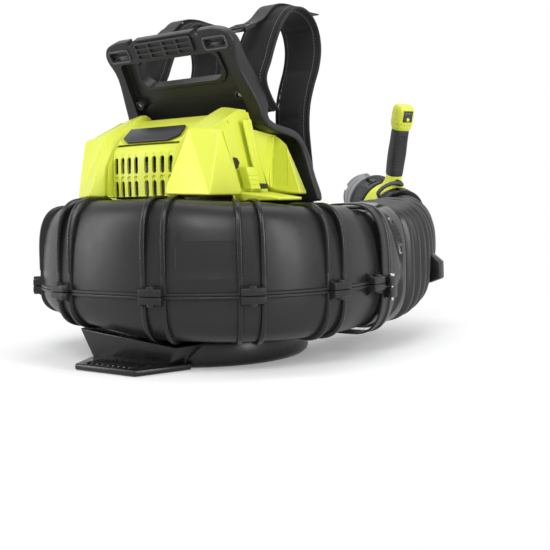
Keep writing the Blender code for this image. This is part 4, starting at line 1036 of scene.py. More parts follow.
def build_housing():
    """The lime shell: a core with a fin and a wing on each side, open below, with the bays cut out."""
    housing = as_object("main_housing_skin", rounded(hull(both_sides(CORE)), 4.5, 4, 18))
    for side, _ in SIDES:
        fuse(housing, rounded(hull(mirrored(FIN, side)), 3.2, 3, 18))
        fuse(housing, rounded(hull(mirrored(WING, side)), 3.2, 3, 18))
    carve(housing, hull(both_sides(CAVITY)))
    low, high = BAY_Y
    for side, _ in SIDES:
        x0, x1 = sorted((side * BAY_INNER_X, side * 200))
        carve(housing, boxes(((x0, low, 190), (x1, high, 212))))
        carve(housing, rounded(hull(mirrored(BAY_SPACE, side)), 1.0, 2, 20))
        carve(housing, rounded(lofted([[(side * x, y, z) for x, y in SCOOP] for z in (BAY_FLOOR_Z + 6, 293)]),
                               1.5, 2, 20))
        carve(housing, hull(mirrored(FACET, side)))
    carve(housing, rounded(boxes(((-54, -160, 215), (54, -100, 284))), 2.0, 3))
    carve(housing, rounded(hull(on_plaque(PLAQUE_RECESS, -1.2, 12)), 1.0, 2))
    finished(housing, "lime", "machine", ("main_housing",), angle=24)
    build_vent()
    # a dark sheet behind the slots as painted shade
    piece("vent_baffle", slab(VENT_SHADE_PLATE, -53, 53), "satin_black", "machine")


def slot_outline(half, low, high):
    """An upright slot with round ends."""
    steps = 5
    points = []
    for middle, start in ((high - half, 0), (low + half, math.pi)):
        for i in range(steps + 1):
            angle = start + math.pi * i / steps
            points.append((half * math.cos(angle), middle + half * math.sin(angle)))
    return points


def panel_bow(x):
    """How far the slotted panel stands out at a place across it."""
    return PANEL_BOW * (1 - (x / PANEL_HALF) ** 2)


def build_vent():
    """Upright slotted panel, bowed in plan, that turns back into the housing at its top."""
    def line(out):
        return smooth_line([(0, y - out, z) for y, z in PANEL_LINE], 5)
    rings = []
    for x in (-53.6, -52.6, -46, -34, -22, -9, 0, 9, 22, 34, 46, 52.6, 53.6):
        bow = panel_bow(x) - (0.8 if abs(x) > 53 else 0)
        outline = line(bow) + line(bow - PANEL_THICKNESS)[::-1]
        rings.append([Vector((x, y, z)) for _, y, z in outline])
    panel = as_object("vent_panel_skin", lofted(rings))
    through, caps = [], []
    for low, high in SLOT_ROWS:
        for step in range(4):
            for side in (-1, 1):
                middle = side * (SLOT_FIRST + step * SLOT_SPACING)
                through.append(lofted([[(middle + a, y, b) for a, b in slot_outline(SLOT_HALF, low, high)]
                                       for y in (-160, -100)]))
                centre = Vector((middle, -118.2 - panel_bow(middle), high + 2.6))
                caps.append(turned(((0.6, -1.6), (3.0, -1.4), (3.9, 0), (4.1, 3)), 24, centre,
                                   Vector((0, -1, 0))))
    carve(panel, merged(*through))
    carve(panel, merged(*caps))
    finished(panel, "lime", "machine", ("vent_panel",), angle=24)


def build_plaque():
    plate = rounded(hull(on_plaque(PLAQUE, 0, 2.9)), 0.8, 3)
    piece("badge_plate_skin", plate, "badge", "machine", ("badge_plate",))


CONTACT_Y = (-9, -4, 1)


def build_bay(side, word):
    """A bay's wall with its guide rails, floor, terminal block and contacts, and the latch."""
    low, high = BAY_Y
    inner, level = BAY_INNER_X, BAY_FLOOR_Z

    def span(x0, x1):
        return sorted((side * x0, side * x1))

    def bar(x0, x1, foot, top):
        """A slanted bar from one (low y, high y, z) row to another."""
        corners = [(side * x, y, row[2]) for x in (x0, x1) for row in (foot, top) for y in row[:2]]
        return rounded(hull(corners), 1.1, 2)
    liner = as_object("battery_bay_" + word + "_skin", slab(BAY_WALL, *span(inner + 0.3, inner + 2.5)))
    fuse(liner, bar(inner + 1, inner + 11, (-1, 5, 222), (-31.5, -25, 313)))
    fuse(liner, bar(inner + 8, inner + 11, (-13, 0, 226), (-44, -30, 311)))
    fuse(liner, bar(inner + 1, inner + 10, (-54, -49, 219), (-86, -81, 294)))
    bottom = BAY_BOTTOM_Z
    floor = hull(mirrored([(inner + 1, y, z) for z in (level, bottom) for y in (low + 0.3, high - 0.3)]
                          + [(x, y, z) for z in (bottom, bottom + 4)
                             for x, y in ((160, low + 8), (150, high - 0.3))], side))
    fuse(liner, rounded(floor, 2.0, 3))
    carve(liner, slab(WALL_SLOT, *span(inner + 1.2, inner + 6)))
    carve(liner, slab(WALL_HOLE, *span(inner - 5, inner + 6)))
    finished(liner, "lime", "machine", ("battery_bay_" + word,))
    piece("bay_socket_" + word, slab(WALL_HOLE, *span(inner + 0.4, inner + 1.2)), "satin_black", "machine")

    x0, x1 = span(inner + 3, inner + 14)
    block = as_object("battery_terminals_" + word + "_skin",
                      rounded(boxes(((x0, -13, level + 3), (x1, 6, level + 10))), 0.8, 2))
    x0, x1 = span(inner + 9, inner + 16)
    carve(block, boxes(*(((x0, y - 0.9, level + 4), (x1, y + 0.9, level + 9)) for y in CONTACT_Y)))
    finished(block, "dark_grey", "machine", ("battery_terminals_" + word,))
    blades = [(Vector((side * (inner + 11), y, level + 6.5)), X_AXIS * side, UP) for y in CONTACT_Y]
    scattered("battery_contacts_" + word, boxes(((-2.2, -0.35, -1.5), (2.2, 0.35, 1.5))), blades, "copper",
              "machine")

    latch = as_object("battery_latch_" + word + "_skin",
                      bar(inner + 6.6, inner + 19, (-40, -18, 221.6), (-51, -29.5, 250)))
    grooves = [bar(inner + 18, inner + 24, (-38.5 - 4 * i, -19 - 4 * i, 226 + 6 * i),
                   (-39 - 4 * i, -19.5 - 4 * i, 227.6 + 6 * i)) for i in range(3)]
    carve(latch, merged(*grooves))
    finished(latch, "lime", "latch_" + word, ("battery_latch_" + word,))


# ---------------------------------------------------------------- frame

def on_frame(x, height, out=0.0):
    """A point on the leaning upper frame at a level above ground."""
    climb = (height - FRAME_FOLD.z) / FRAME_LEAN.z
    return FRAME_FOLD + FRAME_LEAN * climb + FRAME_OUT * out + Vector((x, 0, 0))


def both_ways(points):
    """Mirror an outline of (x, height) points, listed up the right side, to a closed one."""
    return [(-x, height) for x, height in points] + [(x, height) for x, height in points[::-1]]


def slanted(points, low, high):
    """Prism across the leaning frame whose outline is (x, height above ground)."""
    return round_prism(points, low, high, on_frame)


def round_corners(outline, radius, steps=4):
    """The same closed outline with every corner rounded."""
    points = []
    count = len(outline)
    for i, corner in enumerate(outline):
        corner = Vector(corner)
        before, after = Vector(outline[i - 1]) - corner, Vector(outline[(i + 1) % count]) - corner
        reach = min(radius, before.length * 0.45, after.length * 0.45)
        start, end = corner + before.normalized() * reach, corner + after.normalized() * reach
        for step in range(steps + 1):
            t = step / steps
            point = start * (1 - t) ** 2 + corner * 2 * t * (1 - t) + end * t * t
            points.append((point.x, point.y))
    return points


def frame_section(half_width, depth):
    """Round-edged section of the frame as (x, out) pairs."""
    half = FRAME_THICKNESS / 2
    outline = [(-half_width, half), (half_width, half), (half_width, half - depth), (-half_width,
                                                                                     half - depth)]
    return round_corners(outline, 4.5, 5)


def rect(x0, x1, low, high):
    """The corners of an upright rectangle, one way round."""
    return (x0, low), (x1, low), (x1, high), (x0, high)


def frame_bar():
    """The frame's bent board, swept up its line."""
    line = smooth_line([(y, z, 0) for y, z, _, _ in FRAME_LINE], 4)
    sizes = smooth_line([(width, depth, 0) for _, _, width, depth in FRAME_LINE], 4)
    rings = []
    for i, (spot, size) in enumerate(zip(line, sizes)):
        before, after = line[max(i - 1, 0)], line[min(i + 1, len(line) - 1)]
        run = Vector((0, after.x - before.x, after.y - before.y)).normalized()
        out = Vector((0, -run.z, run.y))
        centre = Vector((0, spot.x, spot.y))
        rings.append([centre + Vector((x, 0, 0)) + out * o for x, o in frame_section(size.x, size.y)])
    return rounded(lofted(rings), 2.0, 2, 60)


def boss_rings(side, profile, count):
    """Circles round a boss's axis, from (radius, level above the floor) rows."""
    return [circle(on_frame(side * BOSS_X, BOSS_HEIGHT, FRAME_FLOOR + rise), FRAME_OUT, radius, count)
            for radius, rise in profile]


# the frame's recess, the lip round its carrying opening, and the opening, up the right side
BASIN = ((96, 320), (89, 403))
OPENING_LIP = ((66, 362), (76, 372), (73, 398), (70, 402))
OPENING = ((60, 367), (71, 376), (68, 396), (60, 401))
BOSS_PROFILE = ((8.4, -2), (8.0, 0.6), (7.2, 9.2), (6.6, 10.2), (5.6, 10.6))
WEB_ENDS = ((100, 330), (100, 372))
WEB_HALF = 1.2
SIDE_HOLLOWS = ((52, 96), (104, 148), (156, 194))
THROUGH = 30                    # a cutter reaches this far to either side of the frame


def build_frame():
    """The moulded frame with its recess, opening, slots, bosses and side hollows."""
    body = as_object("backpack_frame_skin", frame_bar())
    basin = round_corners(both_ways(BASIN), 7)
    carve(body, rounded(slanted(basin, FRAME_FLOOR, THROUGH), 1.6, 2, 50))
    lip = round_corners(both_ways(OPENING_LIP), 12, 6)
    fuse(body, rounded(slanted(lip, FRAME_FLOOR - 2, FRAME_FLOOR + 3.5), 1.6, 3, 50))
    carve(body, slanted(round_corners(both_ways(OPENING), 10, 6), -THROUGH, THROUGH))
    rims = []
    for side, _ in SIDES:
        x0, x1 = sorted((side * (SLOT_X - 15), side * (SLOT_X + 16)))
        loop = round_corners(rect(x0 - 2.4, x1 + 2.4, 406.4, 420.4), 4)
        rims.append(swept([on_frame(x, z, FRAME_THICKNESS / 2 + 0.6) for x, z in loop], 1.5, 12, closed=True))
        carve(body, slanted(round_corners(rect(x0, x1, 409, 418), 3), -THROUGH, THROUGH))
        x0, x1 = sorted((side * 49, side * 60))
        carve(body, slanted(round_corners(rect(x0, x1, 424, 450), 2), -THROUGH, THROUGH))
        webs = []
        for x, height in WEB_ENDS:
            foot, end = Vector((BOSS_X, 0, BOSS_HEIGHT)), Vector((x, 0, height))
            run = (end - foot).normalized()
            width = Vector((run.z, 0, -run.x)) * WEB_HALF
            outline = [foot + run * 5 - width, end - width, end + width, foot + run * 5 + width]
            webs.append(slanted([(side * point.x, point.z) for point in outline],
                                FRAME_FLOOR - 1, FRAME_FLOOR + 4))
        fuse(body, merged(*webs))
        fuse(body, lofted(boss_rings(side, BOSS_PROFILE, 40)))
        carve(body, lofted(boss_rings(side, ((4, 5), (4, 20)), 32)))
        x0, x1 = sorted((side * 92, side * 108))
        for low, high in SIDE_HOLLOWS:
            carve(body, rounded(boxes(((x0, 90, low), (x1, 97, high))), 2.0, 2))
    groove = [(x, 343.8 + rise) for x, rise in ((-80, 0), (-68, 1.2), (68, 1.2), (80, 0))]
    groove += [(x, z + 1.4) for x, z in groove[::-1]]
    carve(body, slanted(groove, FRAME_FLOOR - 0.9, FRAME_FLOOR + 8))
    finished(body, "frame_black", "machine", ("backpack_frame",), angle=26)
    piece("slot_rims", merged(*rims), "collar_grey", "machine", angle=60)
    for side, word in SIDES:
        screw = (on_frame(side * BOSS_X, BOSS_HEIGHT, FRAME_FLOOR + 7.4), FRAME_OUT, X_AXIS)
        head = scattered("frame_screw_" + word + "_head", screw_template(3.6, 1.2), [screw], "steel",
                         "machine")
        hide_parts("frame_screw_" + word)
    build_carry_grip()


def build_carry_grip():
    """Three rows of open pockets between ribs, divided down the middle, on a rounded bar."""
    half = FRAME_THICKNESS / 2
    bar = round_corners(rect(-48, 48, 407, 427), 4)
    grip = as_object("carry_grip_skin", rounded(slanted(bar, half + 0.3, half + 4.6), 1.2, 3, 50))
    pockets = []
    for row in range(3):
        low = 408.6 + row * 6.2
        for side, _ in SIDES:
            for near, far in ((2.2, 22.6), (25.2, 45.6)):
                x0, x1 = sorted((side * near, side * far))
                outline = round_corners(rect(x0, x1, low, low + 4.2), 1.2, 3)
                pockets.append(slanted(outline, half + 1.9, half + 12))
    carve(grip, merged(*pockets))
    finished(grip, "rubber", "machine", ("carry_grip",))


# ---------------------------------------------------------------- pads, straps and webbing

CLOTH_FRAMES = 20
CLOTH_PRESSURE = 4.0
CUSHION_INSET = 1.5             # a cushion starts this much smaller than it ends up


def woven(thing):
    """Weave coordinates in metres, across and along the cloth, laid out by box projection."""
    mesh = thing.data
    layer = mesh.uv_layers.get("weave") or mesh.uv_layers.new(name="weave")
    for polygon in mesh.polygons:
        normal = polygon.normal
        for loop in polygon.loop_indices:
            point = mesh.vertices[mesh.loops[loop].vertex_index].co
            if abs(normal.x) > 0.7:
                layer.data[loop].uv = (point.y, point.z)
            elif abs(normal.z) > abs(normal.y):
                layer.data[loop].uv = (point.x, point.y)
            else:
                layer.data[loop].uv = (point.x, point.z)
    return thing


def puffed(thing, share=1.0):
    """Blow a closed shape up like a sewn cushion; no point moves further than a share of the limit."""
    sizes = bpy.context.scene.blower_sizes
    most = sizes.cushion_rise * share
    name = thing.name
    mesh = thing.data.copy()
    bpy.data.objects.remove(thing)
    blown = linked(name, mesh)
    grid = blown.modifiers.new("Grid", "REMESH")
    grid.mode = "VOXEL"
    grid.voxel_size = sizes.cushion_voxel
    applied(blown)
    start = [vertex.co.copy() for vertex in blown.data.vertices]
    cloth = blown.modifiers.new("Cushion", "CLOTH")
    cloth.settings.use_pressure = True
    cloth.settings.uniform_pressure_force = CLOTH_PRESSURE
    cloth.settings.effector_weights.gravity = 0
    cloth.point_cache.frame_start = 1
    cloth.point_cache.frame_end = CLOTH_FRAMES
    scene = bpy.context.scene
    for step in range(1, CLOTH_FRAMES + 1):
        scene.frame_set(step)
    applied(blown)
    for vertex, before in zip(blown.data.vertices, start):
        move = vertex.co - before
        if move.length > most:
            vertex.co = before + move.normalized() * most
    scene.frame_set(1)
    fine = blown.modifiers.new("Smooth", "SUBSURF")
    fine.levels = fine.render_levels = 1
    return applied(blown)


SEAM_DEPTH = 2.6
SEAM_WIDTH = 4.2
CUSHION_SHARES = (1.0, 0.965, 0.91, 0.81, 0.68, 0.52, 0.34, 0.16)


def cushion(half_x, low_z, high_z, back_y, thick, crown, channels):
    """A crowned pad on the frame's face with sewn channels across it."""
    middle_z, half_z = (low_z + high_z) / 2, (high_z - low_z) / 2
    outline = corner_rect(half_x, half_z, 18, 8)

    def height(z, share):
        edge = min(1.0, (1 - share) / 0.34)
        rise = math.sqrt(max(0.0, 1 - (1 - edge) ** 2))
        level = thick * (0.45 + 0.55 * rise) + crown * (1 - share * share) * 0.6
        for channel in channels:
            level -= SEAM_DEPTH * math.exp(-(abs(z - channel) / SEAM_WIDTH) ** 2) * min(1.0, rise)
        return level
    base = [[Vector((x * 0.97, back_y, middle_z + z * 0.97)) for x, z in outline],
            [Vector((x, back_y + thick * 0.12, middle_z + z)) for x, z in outline]]
    top = [[Vector((x * share, back_y + height(middle_z + z * share, share), middle_z + z * share))
            for x, z in outline] for share in CUSHION_SHARES]
    return lofted(base + top)


# name, half width, lowest, highest, thickness, heights of the sewn channels
PADS = (("back_pad", 52, 112, 256, 12.0, (148, 184, 220)), ("lumbar_pad", 94, 42, 106, 13.5, (74,)))
SEAM_POINTS = 30


def build_pads():
    """The two pads on the wearer's side of the frame, with their bindings and stitches."""
    face = FRAME_BACK_Y + FRAME_THICKNESS / 2 + 0.3
    for name, half_x, low, high, thick, channels in PADS:
        inset = CUSHION_INSET
        shape = cushion(half_x - inset, low + inset, high - inset, face, thick - inset, 1.2, channels)
        pad = puffed(as_object(name + "_skin", shape))
        for vertex in pad.data.vertices:
            vertex.co.y = max(vertex.co.y, face * MM)
        woven(pad)
        finished(pad, "mesh_fabric", "machine", (name,), angle=80)
        middle_z, half_z = (low + high) / 2, (high - low) / 2
        edge = [Vector((x, face + 3.0, middle_z + z))
                for x, z in corner_rect(half_x - 1.6, half_z - 1.6, 16, 8)]
        trim = as_object(name + "_binding", swept(edge, 1.6, 10, closed=True))
        woven(trim)
        finished(trim, "binding", "machine", angle=80)
        places = [-half_x + 9 + i * (2 * half_x - 18) / SEAM_POINTS for i in range(SEAM_POINTS + 1)]
        seams = [[Vector((x, surface_y(pad, x, z) + 0.25, z)) for x in places] for z in channels]
        stitched(name + "_stitches", seams, "machine")


def surface_y(thing, x, z):
    """How far a piece reaches towards the wearer at a place, in millimetres."""
    hit, spot, _, _ = thing.ray_cast(Vector((x * MM, 0.4, z * MM)), Vector((0, -1, 0)))
    return spot.y / MM if hit else 108 + 6


def band_rings(line, section):
    """Rings of a band along (y, z) points; section(share) gives (x, out) pairs."""
    rings = []
    points = [Vector((0, y, z)) for y, z in line]
    last = len(points) - 1
    for i, centre in enumerate(points):
        run = (points[min(i + 1, last)] - points[max(i - 1, 0)]).normalized()
        out = Vector((0, -run.z, run.y))
        rings.append([centre + Vector((x, 0, 0)) + out * o for x, o in section(i / last)])
    return rings


def band_line(points, steps):
    """A smooth line of (y, z) pairs through given ones."""
    return [(point.x, point.y) for point in smooth_line([(y, z, 0) for y, z in points], steps)]


def woven_band(name, rings, finish, body, stands_for=()):
    """A band whose weave coordinates run along it and round its section."""
    thing = as_object(name, lofted(rings))
    mesh = thing.data
    layer = mesh.uv_layers.new(name="weave")
    count = len(rings[0])
    runs, total = [0.0], 0.0
    for before, after in zip(rings, rings[1:]):
        total += (after[0] - before[0]).length * MM
        runs.append(total)
    turns = [0.0]
    for i in range(1, count):
        turns.append(turns[-1] + (rings[0][i] - rings[0][i - 1]).length * MM)
    for polygon in mesh.polygons:
        for loop in polygon.loop_indices:
            index = mesh.loops[loop].vertex_index
            layer.data[loop].uv = (turns[index % count], runs[min(index // count, len(runs) - 1)])
    return finished(thing, finish, body, stands_for, angle=50)


def flat_band(half_width, thickness):
    """The section of a flat strap, for band_rings."""
    half = thickness / 2
    corners = ((-half_width, half), (half_width, half), (half_width, -half), (-half_width, -half))
    outline = round_corners(corners, half * 0.8, 3)
    return lambda share: outline


def strap_half(share):
    """Half the strap's width at a share of its length: even, then tapering over the last third."""
    return STRAP_HALF[0] + max(0.0, 3 * share - 2) * (STRAP_HALF[1] - STRAP_HALF[0])


# how far along the strap its padding is sewn through from edge to edge
SEWN_ROWS = (0.08, 0.30, 0.52, 0.66, 0.80, 0.92)


STITCH_ROW = 0.74               # where the strap's long seams lie, from its middle line to its edge
PAD_SIDES = 28


def strap_section(side, share):
    """The padded strap's section as (x, out) pairs, thin at its ends and sunk along its seams."""
    half = strap_half(share) - CUSHION_INSET
    end = min(1.0, min(share, 1 - share) / 0.03)
    thick = STRAP_THICKNESS / 2 * (0.35 + 0.65 * math.sqrt(max(0.0, 1 - (1 - end) ** 2)))
    points = []
    for i in range(PAD_SIDES):
        angle = 2 * math.pi * i / PAD_SIDES
        x = bent(math.cos(angle), 0.62) * half
        across = x / half
        sewn = 0.42 * thick * math.exp(-((abs(across) - STITCH_ROW) / 0.07) ** 2)
        if abs(across) < STITCH_ROW:
            rows = max(math.exp(-((share - row) / 0.008) ** 2) for row in SEWN_ROWS)
            sewn = max(sewn, 0.38 * thick * rows)
        level = bent(math.sin(angle), 0.72) * thick
        points.append((side * STRAP_X + x, level - math.copysign(min(sewn, abs(level) * 0.5), level)))
    return points


def strap_seam(strap, points, edge, out_side):
    """Points along one long seam of the strap, on its outer or its inner face."""
    last = len(points) - 1
    row = []
    for i, point in enumerate(points[2:-2], 2):
        run = (points[i + 1] - points[i - 1]).normalized()
        out = Vector((0, -run.z, run.y)) * out_side
        start = point + X_AXIS * edge * (strap_half(i / last) * STITCH_ROW) + out * 14
        hit, spot, _, _ = strap.ray_cast(start * MM, -out)
        if hit and (spot / MM - start).length < 20:
            row.append(spot / MM + out * 0.3)
    return row


def build_strap(side, word):
    """A shoulder strap with its binding and stitches, its webbing and the ladder lock."""
    line = band_line(STRAP_LINE, 9)
    rings = band_rings(line, lambda share: strap_section(side, share))
    strap = puffed(as_object("shoulder_strap_" + word + "_skin", lofted(rings)), 0.85)
    woven(strap)
    finished(strap, "fabric", "machine", ("shoulder_strap_" + word,), angle=80)

    points = [Vector((side * STRAP_X, y, z)) for y, z in line]
    last = len(points) - 1
    trim, rows = [], []
    for edge in (-1, 1):
        rail = [point + X_AXIS * edge * (strap_half(i / last) - 1.0)
                for i, point in enumerate(points[1:-1], 1)]
        trim.append(swept(rail, 2.0, 10))
        rows += [strap_seam(strap, points, edge, out_side) for out_side in (-1, 1)]
    woven(finished(as_object("strap_binding_" + word, merged(*trim)), "binding", "machine", angle=80))
    stitched("strap_stitches_" + word, rows, "machine")

    for place, route, x in (("upper", WEB_LINE, SLOT_X), ("lower", LOWER_WEB_LINE, STRAP_X)):
        name = place + "_webbing_" + word
        tape = band_rings(band_line(route, 5), flat_band(WEBBING_HALF, 2))
        woven_band(name + "_skin", [[point + X_AXIS * side * x for point in ring] for ring in tape],
                   "webbing",
                   "machine", (name,))
    build_lock(side, word)
    build_patch(side, word)


def build_lock(side, word):
    """Ladder lock: a frame with two windows and a middle bar that the webbing passes."""
    lean = Vector((0, 41, 17)).normalized()
    out = Vector((0, -17, 41)).normalized()
    middle = Vector((side * SLOT_X, *LOCK_CENTRE))

    def spot(x, s, depth):
        return middle + X_AXIS * x + lean * s + out * depth
    outline = round_corners(rect(-17, 17, -13, 13), 3.5)
    lock = as_object("ladder_lock_" + word + "_skin", rounded(round_prism(outline, -3, 4, spot), 1.4, 3, 50))
    for low, high in ((-9.5, -2.5), (2.5, 9.5)):
        window = round_corners(rect(-13.5, 13.5, low, high), 1.2, 3)
        carve(lock, round_prism(window, -12, 12, spot))
    path = band_rings(band_line(WEB_LINE, 5), flat_band(WEBBING_HALF + 0.7, 3))
    carve(lock, lofted([[point + X_AXIS * side * SLOT_X for point in ring] for ring in path]))
    finished(lock, "frame_black", "machine", ("ladder_lock_" + word,))


def build_patch(side, word):
    """A square with a cross sewn where the webbing is fixed to the strap."""
    points = [Vector((side * SLOT_X, y, z)) for y, z in band_line(WEB_LINE, 5)]
    top = [point for point in points if 108 < point.y < 150]
    lift = UP * 1.4
    across = X_AXIS * 9
    corners = [top[0] - across + lift, top[-1] - across + lift, top[-1] + across + lift,
               top[0] + across + lift]

    def between(a, b):
        return [a + (b - a) * i / 8 for i in range(9)]
    rows = [between(corners[i], corners[(i + 1) % 4]) for i in range(4)]
    rows += [between(corners[0], corners[2]), between(corners[1], corners[3])]
    stitched("webbing_cross_" + word, rows, "machine", 0.75)


# ---------------------------------------------------------------- outlet cuff, clamp and bellows

def cubic(points, share):
    """A point on the cubic curve with four control points."""
    rest = 1 - share
    weights = (rest ** 3, 3 * rest * rest * share, 3 * rest * share * share, share ** 3)
    return sum((point * weight for point, weight in zip(points, weights)), Vector())


HOSE_SIDES = 96


def hose_ring(share, reach):
    """One section of the bellows: a rounded square at the cuff, a circle at the far end."""
    end = TUBE_CENTRE + TUBE_AXIS * HOSE_END_STATION
    outer = cubic((*HOSE_OUTER, end + TUBE_SIDE * HOSE_END_RADIUS), share)
    inner = cubic((*HOSE_INNER, end - TUBE_SIDE * HOSE_END_RADIUS), share)
    across = (outer - inner) / 2
    half, across = across.length, across.normalized()
    up = UP * (1 - share) + TUBE_UP * share
    up = (up - across * up.dot(across)).normalized()
    height, power = smooth_table(HOSE_ROWS, share)
    return rounded_rect((outer + inner) / 2, half + reach, height + reach, power, HOSE_SIDES, across, up)


def sleeve_shape(rows, wall, count):
    """A sleeve with a wall, through rows of centre, half sizes and squareness."""
    outer = [rounded_rect(Vector((x, y, z)), hx, hz, p, count) for x, y, z, hx, hz, p in rows]
    inner = [rounded_rect(Vector((x, y, z)), hx - wall, hz - wall, p, count) for x, y, z, hx, hz, p in rows]
    return lofted(outer + inner[::-1], closed=True)


def table_curve(rows, steps):
    """Rows of six numbers run through by smooth curves."""
    first = smooth_line([row[:3] for row in rows], steps)
    second = smooth_line([row[3:] for row in rows], steps)
    return [(*a, *b) for a, b in zip(first, second)]


# long hollows in the cuff's outer side: lowest and highest point, place at both ends, depth
VALLEYS = ((120, 186, 138, 116, 6.5), (44, 98, 122, 134, 4.5))
# the clamp band's outer side as (y, height above the duct's mouth)
BAND_ROWS = ((68, 7.0), (68.6, 8.3), (70, 8.5), (74.5, 8.5), (75.6, 7.4), (77, 6.6), (88, 6.6), (89.4, 7.4),
             (90.5, 8.5), (95, 8.5), (96.4, 8.3), (97, 7.0))
FOLD_STEPS = 8                  # rings to each fold of the bellows


def hollow_out(spot):
    """Move a point of the cuff's outer side inwards where it lies in a valley."""
    for low, high, y0, y1, deep in VALLEYS:
        share = (spot.z - low) / (high - low)
        if 0 < share < 1:
            reach = 10.5 * math.sin(math.pi * share) ** 0.7
            off = abs(spot.y - (y0 + (y1 - y0) * share)) / max(reach, 0.1)
            if off < 1:
                spot.x -= deep * (1 - off ** 2) * math.sin(math.pi * share) ** 0.5


def build_cuff():
    """The glossy cuff that widens from the duct's mouth to the bellows."""
    x, z, hx, hz, power = MOUTH_X, MOUTH_Z, MOUTH_HALF_X, MOUTH_HALF_Z, MOUTH_POWER
    rows = [(x, RING_OUTLET_END + 0.3, z, hx, hz, power), (x, 98, z, hx, hz, power)]
    rows += table_curve(((x, 98, z, hx, hz, power), (x - 2, 102, z, hx + 3, hz + 4, power),
                         (x - 7, 113, z + 1, hx + 9, hz + 5, 3.25), (172, 128, 115, 66, 84, 3.3),
                         (163, 150, 115, 75, 86, 3.3), (*CUFF_END.xy, 115, 73, 83, 3.4)), 9)[1:]
    cuff = sleeve_shape(rows, 3, 160)
    for vertex in cuff.verts:
        if vertex.co.x > 180:
            hollow_out(vertex.co)
    piece("outlet_cuff_skin", cuff, "gloss_black", "machine", ("outlet_cuff",), angle=30)


def build_mouth_clamp():
    """The band that clamps the cuff to the duct, with its two ears and the screw through them."""
    centre_at = [Vector((MOUTH_X, y, MOUTH_Z)) for y, _ in BAND_ROWS]
    outer = [rounded_rect(centre, MOUTH_HALF_X + out, MOUTH_HALF_Z + out, MOUTH_POWER, 96)
             for centre, (_, out) in zip(centre_at, BAND_ROWS)]
    inner = [rounded_rect(centre, MOUTH_HALF_X + 6, MOUTH_HALF_Z + 6, MOUTH_POWER, 96)
             for centre in (centre_at[-1], centre_at[0])]
    band = as_object("outlet_clamp_band_skin", lofted(outer + inner, closed=True))
    edge = MOUTH_X + MOUTH_HALF_X + 6
    for low, high in ((76, 89), (91, 104)):
        fuse(band, rounded(boxes(((edge, 74, low), (edge + 11, 92, high))), 1.6, 3))
    carve(band, boxes(((edge - 5, 60, 89), (edge + 20, 100, 91))))
    finished(band, "satin_black", "machine", ("outlet_clamp_band",))
    rod = turned(((2, 0), (2, 34)), 24, Vector((edge + 7, 83, 72)))
    head = turned(((0.6, 33.6), (3.6, 33.6), (4.2, 34.2), (4.2, 36), (3.4, 37), (2.2, 37), (2.0, 35.4)), 24,
                  Vector((edge + 7, 83, 70)))
    piece("clamp_screw_skin", merged(rod, head), "steel", "machine", ("clamp_screw",))


def build_hose():
    """The bellows, whose folds get shallower towards the tube, with the lug on its outer side."""
    steps = CONVOLUTIONS * FOLD_STEPS
    outer, inner = [], []
    for i in range(steps + 1):
        share = i / steps
        rise = 4.5 - 2.5 * share
        wave = 0.5 - 0.5 * math.cos(2 * math.pi * share * CONVOLUTIONS)
        reach = -1.5 + (rise + 1.5) * wave ** 0.8
        outer.append(hose_ring(share, reach))
        if i % 2 == 0:
            inner.append(hose_ring(share, reach - 2.3))
    for rings in (outer, inner):
        rings[0] = [point + Vector((0, 0.3, 0)) for point in rings[0]]
    lug = hull([(x, y, z) for y in (258, 274) for x, z in ((222, 78), (222, 127), (242.5, 86), (242.5, 111))])
    hose = merged(lofted(outer + inner[::-1], closed=True), rounded(lug, 2.4, 3))
    hose = dressed(as_object("bellows_hose_skin", hose), "bellows", angle=60)
    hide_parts("bellows_hose")
    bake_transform(hose)


def build_outlet():
    build_cuff()
    build_mouth_clamp()
    build_hose()


# ---------------------------------------------------------------- tube and handle

def tube_at(station, across=0.0, up=0.0):
    """A point given in the tube's own directions, from its centre."""
    return TUBE_CENTRE + TUBE_AXIS * station + TUBE_SIDE * across + TUBE_UP * up


def box_at(along, across, up):
    """A box in the tube's own directions."""
    return lofted([[tube_at(a, b, c) for a, b in ((along[0], across[0]), (along[1], across[0]),
                                                  (along[1], across[1]), (along[0], across[1]))] for c in up])


def tube_turned(profile, count=96):
    """A ring round the tube from its (radius, station) outline."""
    return turned(profile, count, TUBE_CENTRE, TUBE_AXIS, closed=True)


def handle_section(height, front, back, half_side, power=2.6, count=40):
    """Section across the handle: front is towards the tube's free end."""
    middle = tube_at((front - back) / 2, 0, height)
    return rounded_rect(middle, (front + back) / 2, half_side, power, count, TUBE_AXIS, TUBE_SIDE)


def handle_loft(rows):
    """Smooth loft through (height, front, back, half side) rows."""
    first = smooth_line([row[:3] for row in rows], 4)
    second = smooth_line([(row[3], 0, 0) for row in rows], 4)
    return [handle_section(*a, b.x) for a, b in zip(first, second)]


BAND_STATIONS = (70, 84)
NOTCH_TURNS = (20, 110, 200, 290)


